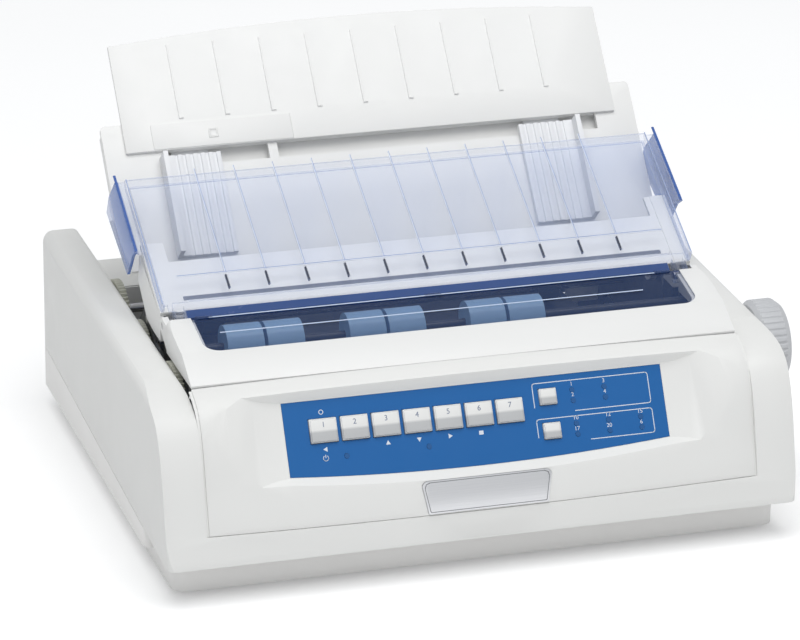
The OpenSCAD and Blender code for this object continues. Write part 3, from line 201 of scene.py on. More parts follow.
def moulded_group():
    """Moulded plastic: spark grain, faint mottling of the colour, and hand marks in the gloss."""
    group, source, sink = new_group(
        "Moulded Surface",
        [("Colour", "NodeSocketColor", (0.8, 0.8, 0.8, 1)), ("Grain Scale", "NodeSocketFloat", 1800.0),
         ("Mottle", "NodeSocketFloat", 0.03), ("Roughness", "NodeSocketFloat", 0.5)],
        SURFACE_OUTPUTS)
    place = add_node(group, "ShaderNodeTexCoord")
    grain = add_node(group, "ShaderNodeTexNoise", in_Detail=3.0, in_Roughness=0.6)
    cloud = add_node(group, "ShaderNodeTexNoise", in_Scale=14.0, in_Detail=4.0)
    marks = add_node(group, "ShaderNodeTexNoise", in_Scale=45.0, in_Detail=5.0, in_Distortion=1.2)
    for texture in (grain, cloud, marks):
        group.links.new(place.outputs["Object"], texture.inputs["Vector"])
    group.links.new(source.outputs["Grain Scale"], grain.inputs["Scale"])
    plain = source.outputs["Colour"]
    darker = mix_colour(group, 1.0, plain, (0.90, 0.90, 0.88, 1), "MULTIPLY")
    amount = add_node(group, "ShaderNodeMath", operation="MULTIPLY")
    group.links.new(cloud.outputs["Fac"], amount.inputs[0])
    group.links.new(source.outputs["Mottle"], amount.inputs[1])
    group.links.new(mix_colour(group, amount.outputs[0], plain, darker), sink.inputs["Colour"])
    rough = add_node(group, "ShaderNodeMath", operation="ADD")
    group.links.new(map_range(group, marks.outputs["Fac"], -0.16, 0.16), rough.inputs[0])
    group.links.new(source.outputs["Roughness"], rough.inputs[1])
    group.links.new(rough.outputs[0], sink.inputs["Roughness"])
    group.links.new(grain.outputs["Fac"], sink.inputs["Height"])
    return group


def drawn_group():
    """Turned or drawn metal: fine lines along one axis, and streaks in the gloss."""
    group, source, sink = new_group(
        "Drawn Metal",
        [("Colour", "NodeSocketColor", (0.6, 0.6, 0.62, 1)),
         ("Stretch", "NodeSocketVector", (1.0, 60.0, 60.0)), ("Roughness", "NodeSocketFloat", 0.3)],
        SURFACE_OUTPUTS)
    place = add_node(group, "ShaderNodeTexCoord")
    stretch = add_node(group, "ShaderNodeVectorMath", operation="MULTIPLY")
    group.links.new(place.outputs["Object"], stretch.inputs[0])
    group.links.new(source.outputs["Stretch"], stretch.inputs[1])
    lines = add_node(group, "ShaderNodeTexNoise", in_Scale=40.0, in_Detail=4.0)
    group.links.new(stretch.outputs[0], lines.inputs["Vector"])
    streak = lines.outputs["Fac"]
    plain = source.outputs["Colour"]
    light = mix_colour(group, 1.0, plain, (0.86, 0.86, 0.87, 1), "MULTIPLY")
    group.links.new(mix_colour(group, streak, plain, light), sink.inputs["Colour"])
    rough = add_node(group, "ShaderNodeMath", operation="ADD")
    group.links.new(source.outputs["Roughness"], rough.inputs[0])
    group.links.new(map_range(group, streak, -0.1, 0.12), rough.inputs[1])
    group.links.new(rough.outputs[0], sink.inputs["Roughness"])
    group.links.new(streak, sink.inputs["Height"])
    return group


GROUPS = {}


def shared_group(name):
    """A node group, made once and used by every material or modifier that needs it."""
    makers = {"moulded": moulded_group, "drawn": drawn_group, "smooth": smooth_shading}
    if name not in GROUPS:
        GROUPS[name] = makers[name]()
    return GROUPS[name]


# ---------------------------------------------------------------- materials


BUMP_DEPTH = 0.0002
COLOUR_EDGE = 0.0004  # how far one colour runs into the next, in metres
COVER_IOR = 1.49
DEEP_COVER = 0.30  # how much more the deeply tinted places cover what is behind them
KEY_COLOUR = (0.80, 0.80, 0.79, 1)
KEY_SHADE = (0.66, 0.67, 0.69, 1)


def finish_material(name, group_name, inputs, bump, **shader):
    """A material whose colour, gloss and bump come from a shared group."""
    material = bpy.data.materials.new(name)
    material.use_nodes = True
    tree = material.node_tree
    surface = tree.nodes["Principled BSDF"]
    group = add_node(tree, "ShaderNodeGroup", node_tree=shared_group(group_name))
    for key, value in inputs.items():
        group.inputs[key].default_value = value
    height = add_node(tree, "ShaderNodeBump", in_Strength=bump, in_Distance=BUMP_DEPTH)
    tree.links.new(group.outputs["Colour"], surface.inputs["Base Color"])
    tree.links.new(group.outputs["Roughness"], surface.inputs["Roughness"])
    tree.links.new(group.outputs["Height"], height.inputs["Height"])
    tree.links.new(height.outputs["Normal"], surface.inputs["Normal"])
    for key, value in shader.items():
        surface.inputs[key.replace("_", " ")].default_value = value
    return material


def moulded(name, colour, roughness=0.45, mottle=0.25, bump=0.12, **shader):
    """Moulded plastic with a fine grain."""
    inputs = {"Colour": colour, "Grain Scale": 1.0 / sizes().grain_size, "Mottle": mottle,
              "Roughness": roughness}
    return finish_material(name, "moulded", inputs, bump, **shader)


def sleek(name, colour, roughness):
    """Print, film or polished plastic with hardly any grain."""
    return moulded(name, colour, roughness, bump=0.02)


def drawn(name, colour, roughness=0.28, stretch=(1.0, 60.0, 60.0)):
    """Turned or drawn metal, with its lines along the axis that stretch holds lowest."""
    inputs = {"Colour": colour, "Stretch": stretch, "Roughness": roughness}
    return finish_material(name, "drawn", inputs, 0.1, Metallic=1.0)


def own_colour(material):
    """The Base Color socket of a material, and the socket that feeds it."""
    base = material.node_tree.nodes["Principled BSDF"].inputs["Base Color"]
    return base, base.links[0].from_socket


def reach_along(tree, axis, origin=None):
    """How far a point of the piece lies along an axis, from an origin or from the world's."""
    place = add_node(tree, "ShaderNodeTexCoord").outputs["Object"]
    if origin:
        moved = add_node(tree, "ShaderNodeVectorMath", operation="SUBTRACT")
        moved.inputs[1].default_value = origin
        tree.links.new(place, moved.inputs[0])
        place = moved.outputs[0]
    reach = add_node(tree, "ShaderNodeVectorMath", operation="DOT_PRODUCT")
    reach.inputs[1].default_value = axis
    tree.links.new(place, reach.inputs[0])
    return reach.outputs["Value"]


def clear(name, colour, face_on, edge_on, deep):
    """Thin tinted plastic: nearly clear face on, and deeper along its edges and at a glancing view.

    deep is (colour, origin, axis, start, end): the plastic takes that deeper colour where the distance
    along the axis, either way from the origin, passes from start to end."""
    inputs = {"Colour": colour, "Grain Scale": 300.0, "Mottle": 0.05, "Roughness": 0.05}
    material = finish_material(name, "moulded", inputs, 0.02, IOR=COVER_IOR)
    tree = material.node_tree
    facing = add_node(tree, "ShaderNodeLayerWeight", in_Blend=0.42)
    depth = add_node(tree, "ShaderNodeMapRange", in_From_Min=0.25, in_From_Max=0.95, in_To_Min=face_on,
                     in_To_Max=edge_on)
    tree.links.new(facing.outputs["Facing"], depth.inputs["Value"])
    shade, origin, axis, start, end = deep
    both_ways = add_node(tree, "ShaderNodeMath", operation="ABSOLUTE")
    tree.links.new(reach_along(tree, axis, origin), both_ways.inputs[0])
    mask = threshold(tree, both_ways.outputs[0], start, end)
    base, own = own_colour(material)
    tree.links.new(mix_colour(tree, mask, own, shade), base)
    more = add_node(tree, "ShaderNodeMath", operation="MULTIPLY_ADD", use_clamp=True)
    more.inputs[1].default_value = DEEP_COVER
    tree.links.new(mask, more.inputs[0])
    tree.links.new(depth.outputs["Result"], more.inputs[2])
    tree.links.new(more.outputs[0], tree.nodes["Principled BSDF"].inputs["Alpha"])
    return material


def height_finish(name, lower, upper, level, roughness):
    """Moulded plastic that changes from one colour to another at a height in metres."""
    material = moulded(name, upper, roughness)
    tree = material.node_tree
    mask = threshold(tree, reach_along(tree, (0, 0, 1)), level - COLOUR_EDGE, level + COLOUR_EDGE)
    base, own = own_colour(material)
    tree.links.new(mix_colour(tree, mask, lower, own), base)
    return material


def key_finish(name, middle):
    """Key plastic with a lighter upper half and a greyer lower half; middle is in mm up the overlay."""
    material = moulded(name, KEY_COLOUR, 0.42, bump=0.05)
    tree = material.node_tree
    level = OVERLAY_MIDDLE.dot(OVERLAY_UP) + middle * MM
    mask = threshold(tree, reach_along(tree, OVERLAY_UP), level - 3 * COLOUR_EDGE, level + COLOUR_EDGE)
    base, own = own_colour(material)
    greyed = mix_colour(tree, 1.0, own, KEY_SHADE, "MULTIPLY")
    tree.links.new(mix_colour(tree, mask, greyed, own), base)
    return material


# ---------------------------------------------------------------- mesh helpers


FONT_OVER_FIGURE = 1.36  # size of the built-in font over the height of its figures
WELD_REACH = 0.00001
ROUNDED_ANGLE = math.radians(30)
SMOOTH_ANGLE = math.radians(33)


def smooth_shading():
    """A modifier tree that shades a mesh smooth, apart from its sharper edges."""
    tree = bpy.data.node_groups.new("Smooth Shading", "GeometryNodeTree")
    for way in ("INPUT", "OUTPUT"):
        tree.interface.new_socket("Geometry", in_out=way, socket_type="NodeSocketGeometry")
    source, sink = tree.nodes.new("NodeGroupInput"), tree.nodes.new("NodeGroupOutput")
    angle = tree.nodes.new("GeometryNodeInputMeshEdgeAngle")
    flat = add_node(tree, "FunctionNodeCompare", data_type="FLOAT", operation="LESS_EQUAL")
    flat.inputs["B"].default_value = SMOOTH_ANGLE
    edges = add_node(tree, "GeometryNodeSetShadeSmooth", domain="EDGE")
    faces = add_node(tree, "GeometryNodeSetShadeSmooth", domain="FACE")
    tree.links.new(angle.outputs["Unsigned Angle"], flat.inputs["A"])
    tree.links.new(source.outputs[0], edges.inputs["Geometry"])
    tree.links.new(flat.outputs["Result"], edges.inputs["Shade Smooth"])
    tree.links.new(edges.outputs["Geometry"], faces.inputs["Geometry"])
    tree.links.new(faces.outputs["Geometry"], sink.inputs[0])
    return tree


def dress(node, material, rounding=0.0):
    """Gives a carried-over node its finish, rounds its edges and smooths its curves."""
    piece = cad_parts[node]
    piece.data.materials.clear()
    piece.data.materials.append(material)
    weld = piece.modifiers.new("Weld", "WELD")
    weld.merge_threshold = WELD_REACH
    if rounding:
        bevel = piece.modifiers.new("Edges", "BEVEL")
        bevel.width = rounding
        bevel.segments = 2
        bevel.limit_method = "ANGLE"
        bevel.angle_limit = ROUNDED_ANGLE
    piece.modifiers.new("Smooth Shading", "NODES").node_group = shared_group("smooth")


def mesh_piece(name, mesh, material, body):
    """A new object from a bmesh, riding on a body."""
    data = bpy.data.meshes.new(name)
    mesh.normal_update()
    mesh.to_mesh(data)
    mesh.free()
    data.materials.append(material)
    piece = bpy.data.objects.new(name, data)
    bpy.context.scene.collection.objects.link(piece)
    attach(piece, body)


def on_overlay(u, v, w=0.0):
    """A point given in mm across, up and out of the control overlay."""
    return OVERLAY_MIDDLE + Vector((u, 0, 0)) * MM + OVERLAY_UP * v * MM + OVERLAY_OUT * w * MM


def on_plate(u, v, w=0.0):
    """A point given in mm across, up and out of the bare plate."""
    back, up = PLATE_MIDDLE
    return Vector((u, back + v * math.cos(PLATE_LEAN) - w * math.sin(PLATE_LEAN),
                   up + v * math.sin(PLATE_LEAN) + w * math.cos(PLATE_LEAN))) * MM


def on_side(u, v, w=0.0):
    """A point given in mm back and up in the plane of a side, and across from the middle."""
    return Vector((w, u, v)) * MM


def on_view_cover(u, v, w=0.0):
    """A point given in mm across, along and out of the view cover."""
    return VIEW_HINGE + Vector((u, 0, 0)) * MM + VIEW_ALONG * v * MM + VIEW_OUT * w * MM


def on_window(u, v, w=0.0):
    """A point given in mm across and back along the model, and up from the plane over the pane."""
    return Vector((u, v, PANE_HEIGHT + (v - PANE_PLACE) * PANE_SLOPE + w)) * MM


def behind(u, v, w=0.0):
    """A point given in mm across and up the rear wall, and out of it."""
    return Vector((u, REAR_WALL + w, v)) * MM


def below(u, v, w=0.0):
    """A point given in mm across and back along the underside of the pan, and down out of it."""
    return Vector((u, v, PAN_UNDERSIDE - w)) * MM


def rounded_outline(width, height, radius, steps=5):
    """Points of a rounded rectangle round the origin, anticlockwise."""
    radius = min(radius, width / 2, height / 2)
    points = []
    for quarter, (sx, sy) in enumerate(((1, 1), (-1, 1), (-1, -1), (1, -1))):
        for step in range(steps + 1):
            turn = math.radians(90 * quarter + 90 * step / steps)
            points.append((sx * (width / 2 - radius) + radius * math.cos(turn),
                           sy * (height / 2 - radius) + radius * math.sin(turn)))
    return points


def box_outline(u0, v0, u1, v1):
    """Corners of a plain rectangle, anticlockwise from its lowest."""
    return [(u0, v0), (u1, v0), (u1, v1), (u0, v1)]


def circle(radius, steps=20):
    """Points of a circle round the origin."""
    turns = [math.tau * step / steps for step in range(steps)]
    return [(radius * math.cos(turn), radius * math.sin(turn)) for turn in turns]


def shifted(outline, u, v):
    """The same outline moved by (u, v)."""
    return [(x + u, y + v) for x, y in outline]


def drawn_in(outline, width):
    """The same outline drawn in by width, for a frame; both run the same way."""
    us, vs = [p[0] for p in outline], [p[1] for p in outline]
    mid_u, mid_v = (min(us) + max(us)) / 2, (min(vs) + max(vs)) / 2
    half_u, half_v = (max(us) - min(us)) / 2, (max(vs) - min(vs)) / 2
    return [(mid_u + (u - mid_u) * (half_u - width) / half_u,
             mid_v + (v - mid_v) * (half_v - width) / half_v) for u, v in outline]


def add_slab(mesh, outline, place, low, high):
    """A closed slab: place maps (u, v, w) in mm to a point, low and high are its faces along w."""
    bottom = [mesh.verts.new(place(u, v, low)) for u, v in outline]
    top = [mesh.verts.new(place(u, v, high)) for u, v in outline]
    mesh.faces.new(top)
    mesh.faces.new(list(reversed(bottom)))
    count = len(outline)
    for i in range(count):
        j = (i + 1) % count
        mesh.faces.new((bottom[i], bottom[j], top[j], top[i]))


def add_frame(mesh, outline, width, place, low, high):
    """A closed band of one width that follows an outline."""
    inner = drawn_in(outline, width)
    rows = [[mesh.verts.new(place(u, v, w)) for u, v in ring]
            for ring, w in ((outline, low), (outline, high), (inner, high), (inner, low))]
    count = len(outline)
    for k in range(4):
        a, b = rows[k], rows[(k + 1) % 4]
        for i in range(count):
            j = (i + 1) % count
            mesh.faces.new((a[i], a[j], b[j], b[i]))


def add_bar(mesh, u, v, width, height, place, low, high, radius=0.2):
    """A closed slab with rounded corners, centred on (u, v)."""
    add_slab(mesh, shifted(rounded_outline(width, height, radius, 2), u, v), place, low, high)


def add_stroke(mesh, points, width, place, low, high):
    """A closed ribbon of one width along a line of (u, v) points."""
    for (u0, v0), (u1, v1) in zip(points, points[1:]):
        length = math.hypot(u1 - u0, v1 - v0)
        du, dv = (u1 - u0) / length * width / 2, (v1 - v0) / length * width / 2
        add_slab(mesh, [(u0 - du - dv, v0 - dv + du), (u0 - du + dv, v0 - dv - du),
                        (u1 + du + dv, v1 + dv - du), (u1 + du - dv, v1 + dv + du)], place, low, high)


def add_screw(mesh, marks, u, v, place, radius, height):
    """A round screw head, with dark crossed bars drawn in a second mesh as the painted shade of its recess.
    """
    add_slab(mesh, shifted(circle(radius), u, v), place, -0.4, height * 0.6)
    add_slab(mesh, shifted(circle(radius * 0.82), u, v), place, height * 0.5, height)
    for width, depth in ((radius, radius * 0.24), (radius * 0.24, radius)):
        add_bar(marks, u, v, width, depth, place, height - 0.1, height + 0.03, 0.05)


def add_figures(mesh, text, u, v, height, low, high):
    """Plain numbers in the built-in font, centred on (u, v) of the control overlay."""
    data = bpy.data.curves.new("figures", "FONT")
    data.body = text
    data.size = height * FONT_OVER_FIGURE
    data.extrude = (high - low) / 2
    data.align_x, data.align_y = "CENTER", "CENTER"
    holder = bpy.data.objects.new("figures", data)
    bpy.context.scene.collection.objects.link(holder)
    flat = bpy.data.meshes.new_from_object(holder)
    place = Matrix((Vector((1, 0, 0)), OVERLAY_UP, OVERLAY_OUT)).transposed().to_4x4()
    flat.transform(Matrix.Translation(on_overlay(u, v, (low + high) / 2)) @ place @ Matrix.Scale(MM, 4))
    mesh.from_mesh(flat)
    bpy.data.objects.remove(holder)
    bpy.data.curves.remove(data)
    bpy.data.meshes.remove(flat)


def bars_piece(name, material, body, place, bars, radius):
    """A piece of rounded bars, each (u, v, width, height, low, high) in mm."""
    mesh = bmesh.new()
    for u, v, width, height, low, high in bars:
        add_bar(mesh, u, v, width, height, place, low, high, radius)
    mesh_piece(name, mesh, material, body)


def face_height(node):
    """How far a node's face stands out of the control overlay, in mm."""
    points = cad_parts[node].data.vertices
    return max((point.co - OVERLAY_MIDDLE).dot(OVERLAY_OUT) for point in points) / MM


# ---------------------------------------------------------------- operators


class PRINTER_OT_mouldings(bpy.types.Operator):
    """Finish the outer mouldings in grained plastic"""
    bl_idname = "printer.mouldings"
    bl_label = "Outer Mouldings"

    def execute(self, context):
        paint, edge = colours(), sizes().edge_round
        housing = moulded("Housing Plastic", paint.housing, 0.50)
        cover = moulded("Cover Plastic", paint.covers, 0.46)
        pan = moulded("Pan Plastic", paint.pan, 0.52)
        guide = moulded("Paper Guide Plastic", (0.82, 0.83, 0.85, 1), 0.48)
        chute_top = 0.121
        chute = height_finish("Chute Plastic", (0.02, 0.025, 0.04, 1), paint.covers, chute_top, 0.5)
        for node, finish, rounding in (
                ("cabinet", housing, edge), ("front_panel", housing, edge), ("access_cover", cover, edge),
                ("sheet_guide", cover, edge), ("sheet_support", cover, edge), ("base_pan", pan, edge),
                ("paper_guide_left", guide, edge / 2), ("paper_guide_right", guide, edge / 2),
                ("paper_chute", chute, SMALL_ROUND)):
            dress(node, finish, rounding)
        return {"FINISHED"}


class PRINTER_OT_clear_parts(bpy.types.Operator):
    """Finish the view cover and the window strip in tinted clear plastic"""
    bl_idname = "printer.clear_parts"
    bl_label = "Clear Covers"

    def execute(self, context):
        # The view cover is deeper in its wings, and the window at its front and rear rims
        wings = ((0.10, 0.21, 0.56, 1), (0, 0, 0), (1, 0, 0), 0.1757, 0.1760)
        rims = ((0.02, 0.05, 0.17, 1), (0, -0.100, 0), (0, 1, 0), 0.0346, 0.0350)
        dress("view_cover", clear("Tinted Cover", colours().tint, 0.08, 0.70, wings), SMALL_ROUND)
        dress("window_visor", clear("Tinted Window", (0.05, 0.10, 0.26, 1), 0.08, 0.55, rims))
        return {"FINISHED"}


class PRINTER_OT_cover_trim(bpy.types.Operator):
    """Lay painted highlights on the window's crests, and painted slit shade, painted shade lines and painted
    highlight lines on the view cover
    """
    bl_idname = "printer.cover_trim"
    bl_label = "Cover Trim"

    def execute(self, context):
        mesh = bmesh.new()
        # Low ridges on the pane, coloured pale as painted highlights along its crests
        for crest in (box_outline(-146, -65.3, 140, -64.5), box_outline(-143.7, -83.0, 126.4, -82.2)):
            add_slab(mesh, crest, on_window, 0.42, 0.62)
        mesh_piece("window_ridge_highlights", mesh, sleek("Ridge Crest Highlight", (0.62, 0.72, 0.90, 1), 0.3), "cover_frame")
        slit_middle, rib_middle, rib_length, step_length = 23.5, 74, 88, 314
        for name, finish, bars in (
                # Dark bars standing in the slits: painted shade of the openings
                ("painted_slit_shade", moulded("Slit Shade", (0.03, 0.04, 0.07, 1), 0.5),
                 [(u, slit_middle, 0.9, 10.6, 7.4, 9.22) for u in RIB_PLACES]),
                # Deep blue lines along the wings' edges: painted edge shade
                ("wing_edge_shade", sleek("Deep Blue Edge Shade", (0.05, 0.12, 0.38, 1), 0.3),
                 [(side * 177.2, 86, 1.6, 64, 9.0, 9.5) for side in (-1, 1)]),
                # Blue grey lines along the plate's sides, the step and one flank of each rib: painted shade
                ("cover_shade_lines", sleek("Blue Grey Shade Line", (0.36, 0.44, 0.66, 1), 0.3),
                 [(side * 170.6, 62, 0.5, 104, 9.0, 9.6) for side in (-1, 1)]
                 + [(0, 30.9, step_length, 0.3, 9.3, 9.62)]
                 + [(u + 0.5, rib_middle, 0.3, rib_length, 9.15, 9.55) for u in RIB_PLACES]),
                # Pale lines beside the step and the other flank of each rib: painted highlights
                ("cover_highlights", sleek("Bright Edge Highlight", (0.84, 0.88, 0.96, 1), 0.3),
                 [(0, 30.1, step_length, 0.35, 9.3, 9.6)]
                 + [(u - 0.1, rib_middle, 0.35, rib_length, 9.15, 9.56) for u in RIB_PLACES])):
            bars_piece(name, finish, "clear_cover", on_view_cover, bars, 0.1)
        return {"FINISHED"}


class PRINTER_OT_deck_trim(bpy.types.Operator):
    """Lay the blue hinge strip, the white band, and a dark strip of painted shadow at the slot, on the deck
    under the view cover
    """
    bl_idname = "printer.deck_trim"
    bl_label = "Deck Trim"

    def execute(self, context):
        # The deck lies from 1.2 under to 1.2 over the cover's hinge plane, and its trim just over it
        deck_under, over_deck = -1.2, 1.22
        half_width, lip_back, strip_top = 155.8, 3.2, 1.5
        mesh = bmesh.new()
        lip = box_outline(-half_width, 2.95, half_width, lip_back)
        add_slab(mesh, lip, on_view_cover, deck_under, strip_top)
        strip = box_outline(-half_width, lip_back, half_width, 9.4)
        add_slab(mesh, strip, on_view_cover, over_deck, strip_top)
        mesh_piece("hinge_strip", mesh, sleek("Hinge Strip", (0.045, 0.095, 0.27, 1), 0.22),
                   "printer_base")
        band = moulded("Deck Band", (0.87, 0.87, 0.86, 1), 0.4, bump=0.05)
        bars_piece("deck_band", band, "printer_base", on_view_cover,
                   [(0, 13.5, 306.4, 8.2, over_deck, 1.46)], 1.0)
        # A dark strip behind the white band: painted shadow of the slot in the deck
        shade = moulded("Slot Shade", (0.17, 0.19, 0.24, 1), 0.5, bump=0.05)
        bars_piece("deck_slot_shadow", shade, "printer_base", on_view_cover,
                   [(0, 19.3, 309, 3.2, over_deck, 1.44)], 0.3)
        return {"FINISHED"}


class PRINTER_OT_controls(bpy.types.Operator):
    """Finish the control film, keys, lenses, plate and circuit boards"""
    bl_idname = "printer.controls"
    bl_label = "Controls"

    def execute(self, context):
        dress("control_overlay", moulded("Panel Film", colours().panel, 0.38, mottle=0.1, bump=0.04,
                                         Specular_IOR_Level=0.35))
        for number in range(1, len(KEY_PLACES) + 1):
            dress(f"key_{number}", key_finish(f"Key {number}", 3.7), KEY_ROUND)
        for name, middle in (("mode_key_upper", 9.7), ("mode_key_lower", -11.2)):
            dress(name, key_finish(name.replace("_", " ").title(), middle), KEY_ROUND)
        dress("indicator_lenses", moulded("Lamp Lens", (0.020, 0.105, 0.30, 1), 0.28,
                                          Specular_IOR_Level=0.4))
        dress("name_plate", drawn("Plate Metal", (0.83, 0.835, 0.85, 1), 0.40), PLATE_ROUND)
        for node, name in (("panel_board", "Circuit Board"), ("main_board", "Main Circuit Board")):
            dress(node, moulded(name, (0.02, 0.11, 0.05, 1), 0.35))
        return {"FINISHED"}


class PRINTER_OT_front_trim(bpy.types.Operator):
    """Draw a painted shadow line just inside the plate's rim, and close the side gaps of the front panel"""
    bl_idname = "printer.front_trim"
    bl_label = "Front Trim"

    def execute(self, context):
        # A dark band just inside the plate's rim: painted inner shadow
        mesh = bmesh.new()
        outline = [(36.2, 9.2), (-36.2, 9.2), (-38.6, 8.3), (-39.5, 5.9), (-36.9, -8.6), (-36.3, -9.2),
                   (36.3, -9.2), (36.9, -8.6), (39.5, 5.9), (38.6, 8.3)]
        add_frame(mesh, outline, 0.42, on_plate, 0.46, 0.56)
        mesh_piece("plate_shadow_line", mesh, moulded("Plate Shadow Line", (0.20, 0.205, 0.22, 1), 0.4, bump=0.03),
                   "printer_base")
        # Light strips in the side gaps, from 0.7 to 1.6 mm under the panel's face
        mesh = bmesh.new()
        outer, inner = [], []
        for (y0, z0), (y1, z1) in zip(PANEL_SIDE, PANEL_SIDE[1:]):
            length = math.hypot(y1 - y0, z1 - z0)
            back, down = (z1 - z0) / length, (y0 - y1) / length
            for line, depth in ((outer, 0.7), (inner, 1.6)):
                line.append(((y0 + y1) / 2 + back * depth, (z0 + z1) / 2 + down * depth))
        for side in (-1, 1):
            middle = side * PANEL_GAP
            add_slab(mesh, outer + inner[::-1], on_side, middle - 0.8, middle + 0.8)
        mesh_piece("panel_seams", mesh, moulded("Seam Plastic", colours().housing, 0.5), "printer_base")
        return {"FINISHED"}


class PRINTER_OT_mechanism(bpy.types.Operator):
    """Finish the feed, carriage and frame inside the cabinet"""
    bl_idname = "printer.mechanism"
    bl_label = "Mechanism"

    def execute(self, context):
        steel = drawn("Ground Steel", (0.60, 0.60, 0.62, 1), 0.24)
        sheet = drawn("Plated Sheet", (0.20, 0.205, 0.215, 1), 0.42, (6.0, 6.0, 6.0))
        brass = drawn("Turned Brass", (0.60, 0.45, 0.18, 1))
        cast = drawn("Cast Head Metal", (0.30, 0.31, 0.33, 1), 0.45, (8.0, 8.0, 8.0))
        dark = moulded("Dark Plastic", (0.018, 0.020, 0.026, 1), 0.42)
        motor = moulded("Motor Paint", (0.03, 0.03, 0.033, 1), 0.38)
        rubber = moulded("Ground Rubber", (0.012, 0.012, 0.014, 1), 0.72, bump=0.3)
        gear = moulded("Gear Plastic", (0.66, 0.66, 0.58, 1), 0.38)
        roller = moulded("Roller Plastic", (0.25, 0.41, 0.63, 1), 0.36)
        knob = moulded("Knob Plastic", (0.55, 0.56, 0.58, 1), 0.44)
        casing = moulded("Supply Casing", (0.16, 0.14, 0.11, 1), 0.5)
        tractor = moulded("Tractor Plastic", (0.05, 0.06, 0.08, 1), 0.4)
        for finish, nodes in (
                (steel, ("guide_pivot_pins", "cover_hinge_pins", "gear_pins", "tractor_rod",
                         "carriage_shaft", "platen_shaft", "tractor_shaft")),
                (sheet, ("side_frame_left", "side_frame_right", "carriage_rail", "tail_bracket")),
                (brass, ("motor_pinion", "drive_pulley", "tail_pulley")),
                (cast, ("print_head",)),
                (motor, ("feed_motor", "carriage_motor")),
                (rubber, ("carriage_belt", "rubber_feet", "platen_roller")),
                (gear, ("platen_gear", "idler_gear", "transfer_gear", "tractor_gear")),
                (roller, ("pull_up_rollers",)),
                (tractor, ("tractor_left", "tractor_right")),
                (casing, ("power_supply",)),
                (dark, ("pull_up_shaft", "carriage", "rear_connectors", "switch_housing"))):
            for node in nodes:
                dress(node, finish)
        for node, finish in (("platen_knob", knob), ("ribbon_cartridge", dark), ("power_switch", dark)):
            dress(node, finish, SMALL_ROUND)
        return {"FINISHED"}


# How far the print stands out of the control film: its back and its face
PRINT_DEPTHS = (0.02, 0.10)

# Outlines round the rows of lamps, open at the lower left: foot, head, and start of the foot line
LAMP_OUTLINES = ((-0.5, 18.3, 62.5), (-18.8, -3.7, 70.0))

# Plain figures at the lamps, each with its place across and up
LAMP_FIGURES = (("1", 62, 15.9), ("2", 62, 9.4), ("3", 82.6, 15.9), ("4", 82.6, 9.3), ("10", 62, -4.9),
                ("17", 62, -11.5), ("12", 82.6, -5.0), ("20", 82.6, -11.6), ("15", 103.2, -5.1),
                ("6", 103.2, -11.6))

# Row of marks under the keys: arrows by key and turn in degrees, and the key with a square
KEY_MARK_ROW = -7.7
KEY_ARROWS = ((0, 180), (2, 90), (3, 270), (4, 0))
KEY_SQUARE = 5

# The power mark: the middle of its ring, and the ring's radius
POWER_MARK = (-96.5, -13)
POWER_RADIUS = 1.6


class PRINTER_OT_panel_print(bpy.types.Operator):
    """Print the outlines, plain figures and marks on the control film"""
    bl_idname = "printer.panel_print"
    bl_label = "Panel Print"

    def execute(self, context):
        mesh = bmesh.new()
        left, right, corner = 37, 111, 0.4
        for bottom, top, gap in LAMP_OUTLINES:
            line = [(gap, bottom), (right - 1.5, bottom), (right - corner, bottom + corner),
                    (right, bottom + 1.5), (right, top - 1.5), (right - corner, top - corner),
                    (right - 1.5, top), (left + 1.5, top), (left + corner, top - corner),
                    (left, top - 1.5), (left, bottom + 4.2)]
            add_stroke(mesh, line, 0.5, on_overlay, *PRINT_DEPTHS)
        for text, u, v in LAMP_FIGURES:
            add_figures(mesh, text, u, v, 2.6, *PRINT_DEPTHS)
        # A ring over the first key, and arrows and a square under the others
        add_frame(mesh, shifted(circle(1.5), KEY_PLACES[0], 14.9), 0.45, on_overlay, *PRINT_DEPTHS)
        for key, turn in KEY_ARROWS:
            c, s = math.cos(math.radians(turn)), math.sin(math.radians(turn))
            arrow = [(x * c - y * s, x * s + y * c) for x, y in ((1.5, 0), (-1.1, 1.5), (-1.1, -1.5))]
            add_slab(mesh, shifted(arrow, KEY_PLACES[key], KEY_MARK_ROW), on_overlay, *PRINT_DEPTHS)
        add_bar(mesh, KEY_PLACES[KEY_SQUARE], KEY_MARK_ROW, 2.8, 2.4, on_overlay, *PRINT_DEPTHS)
        # The power mark: a ring with a gap, and an upright
        across, up = POWER_MARK
        turns = [math.radians(turn) for turn in range(40, 321, 20)]
        ring = [(across + POWER_RADIUS * math.sin(turn), up + POWER_RADIUS * math.cos(turn))
                for turn in turns]
        add_stroke(mesh, ring, 0.42, on_overlay, *PRINT_DEPTHS)
        add_bar(mesh, across, up + 1.1, 0.42, 2.0, on_overlay, *PRINT_DEPTHS, 0.1)
        mesh_piece("panel_print", mesh, sleek("White Ink", (0.70, 0.75, 0.83, 1), 0.5), "printer_base")
        # A number on the upper half of each key
        grey = sleek("Key Ink", (0.16, 0.20, 0.30, 1), 0.5)
        for number, place in enumerate(KEY_PLACES, 1):
            face = face_height(f"key_{number}")
            mesh = bmesh.new()
            add_figures(mesh, str(number), place, 7.0, 3.4, face - 0.03, face + 0.05)
            mesh_piece(f"key_{number}_figure", mesh, grey, f"key_{number}_button")
        return {"FINISHED"}


# Signal sockets of the rear wall: middle across, contacts in a row, their pitch and their width
SIGNAL_SOCKETS = ((64, 18, 2.3, 1.1), (20, 3, 0.9, 0.5))
CONTACT_ROWS = (64.84, 67.16)
CONTACT_REACH = (-11, -3.6)

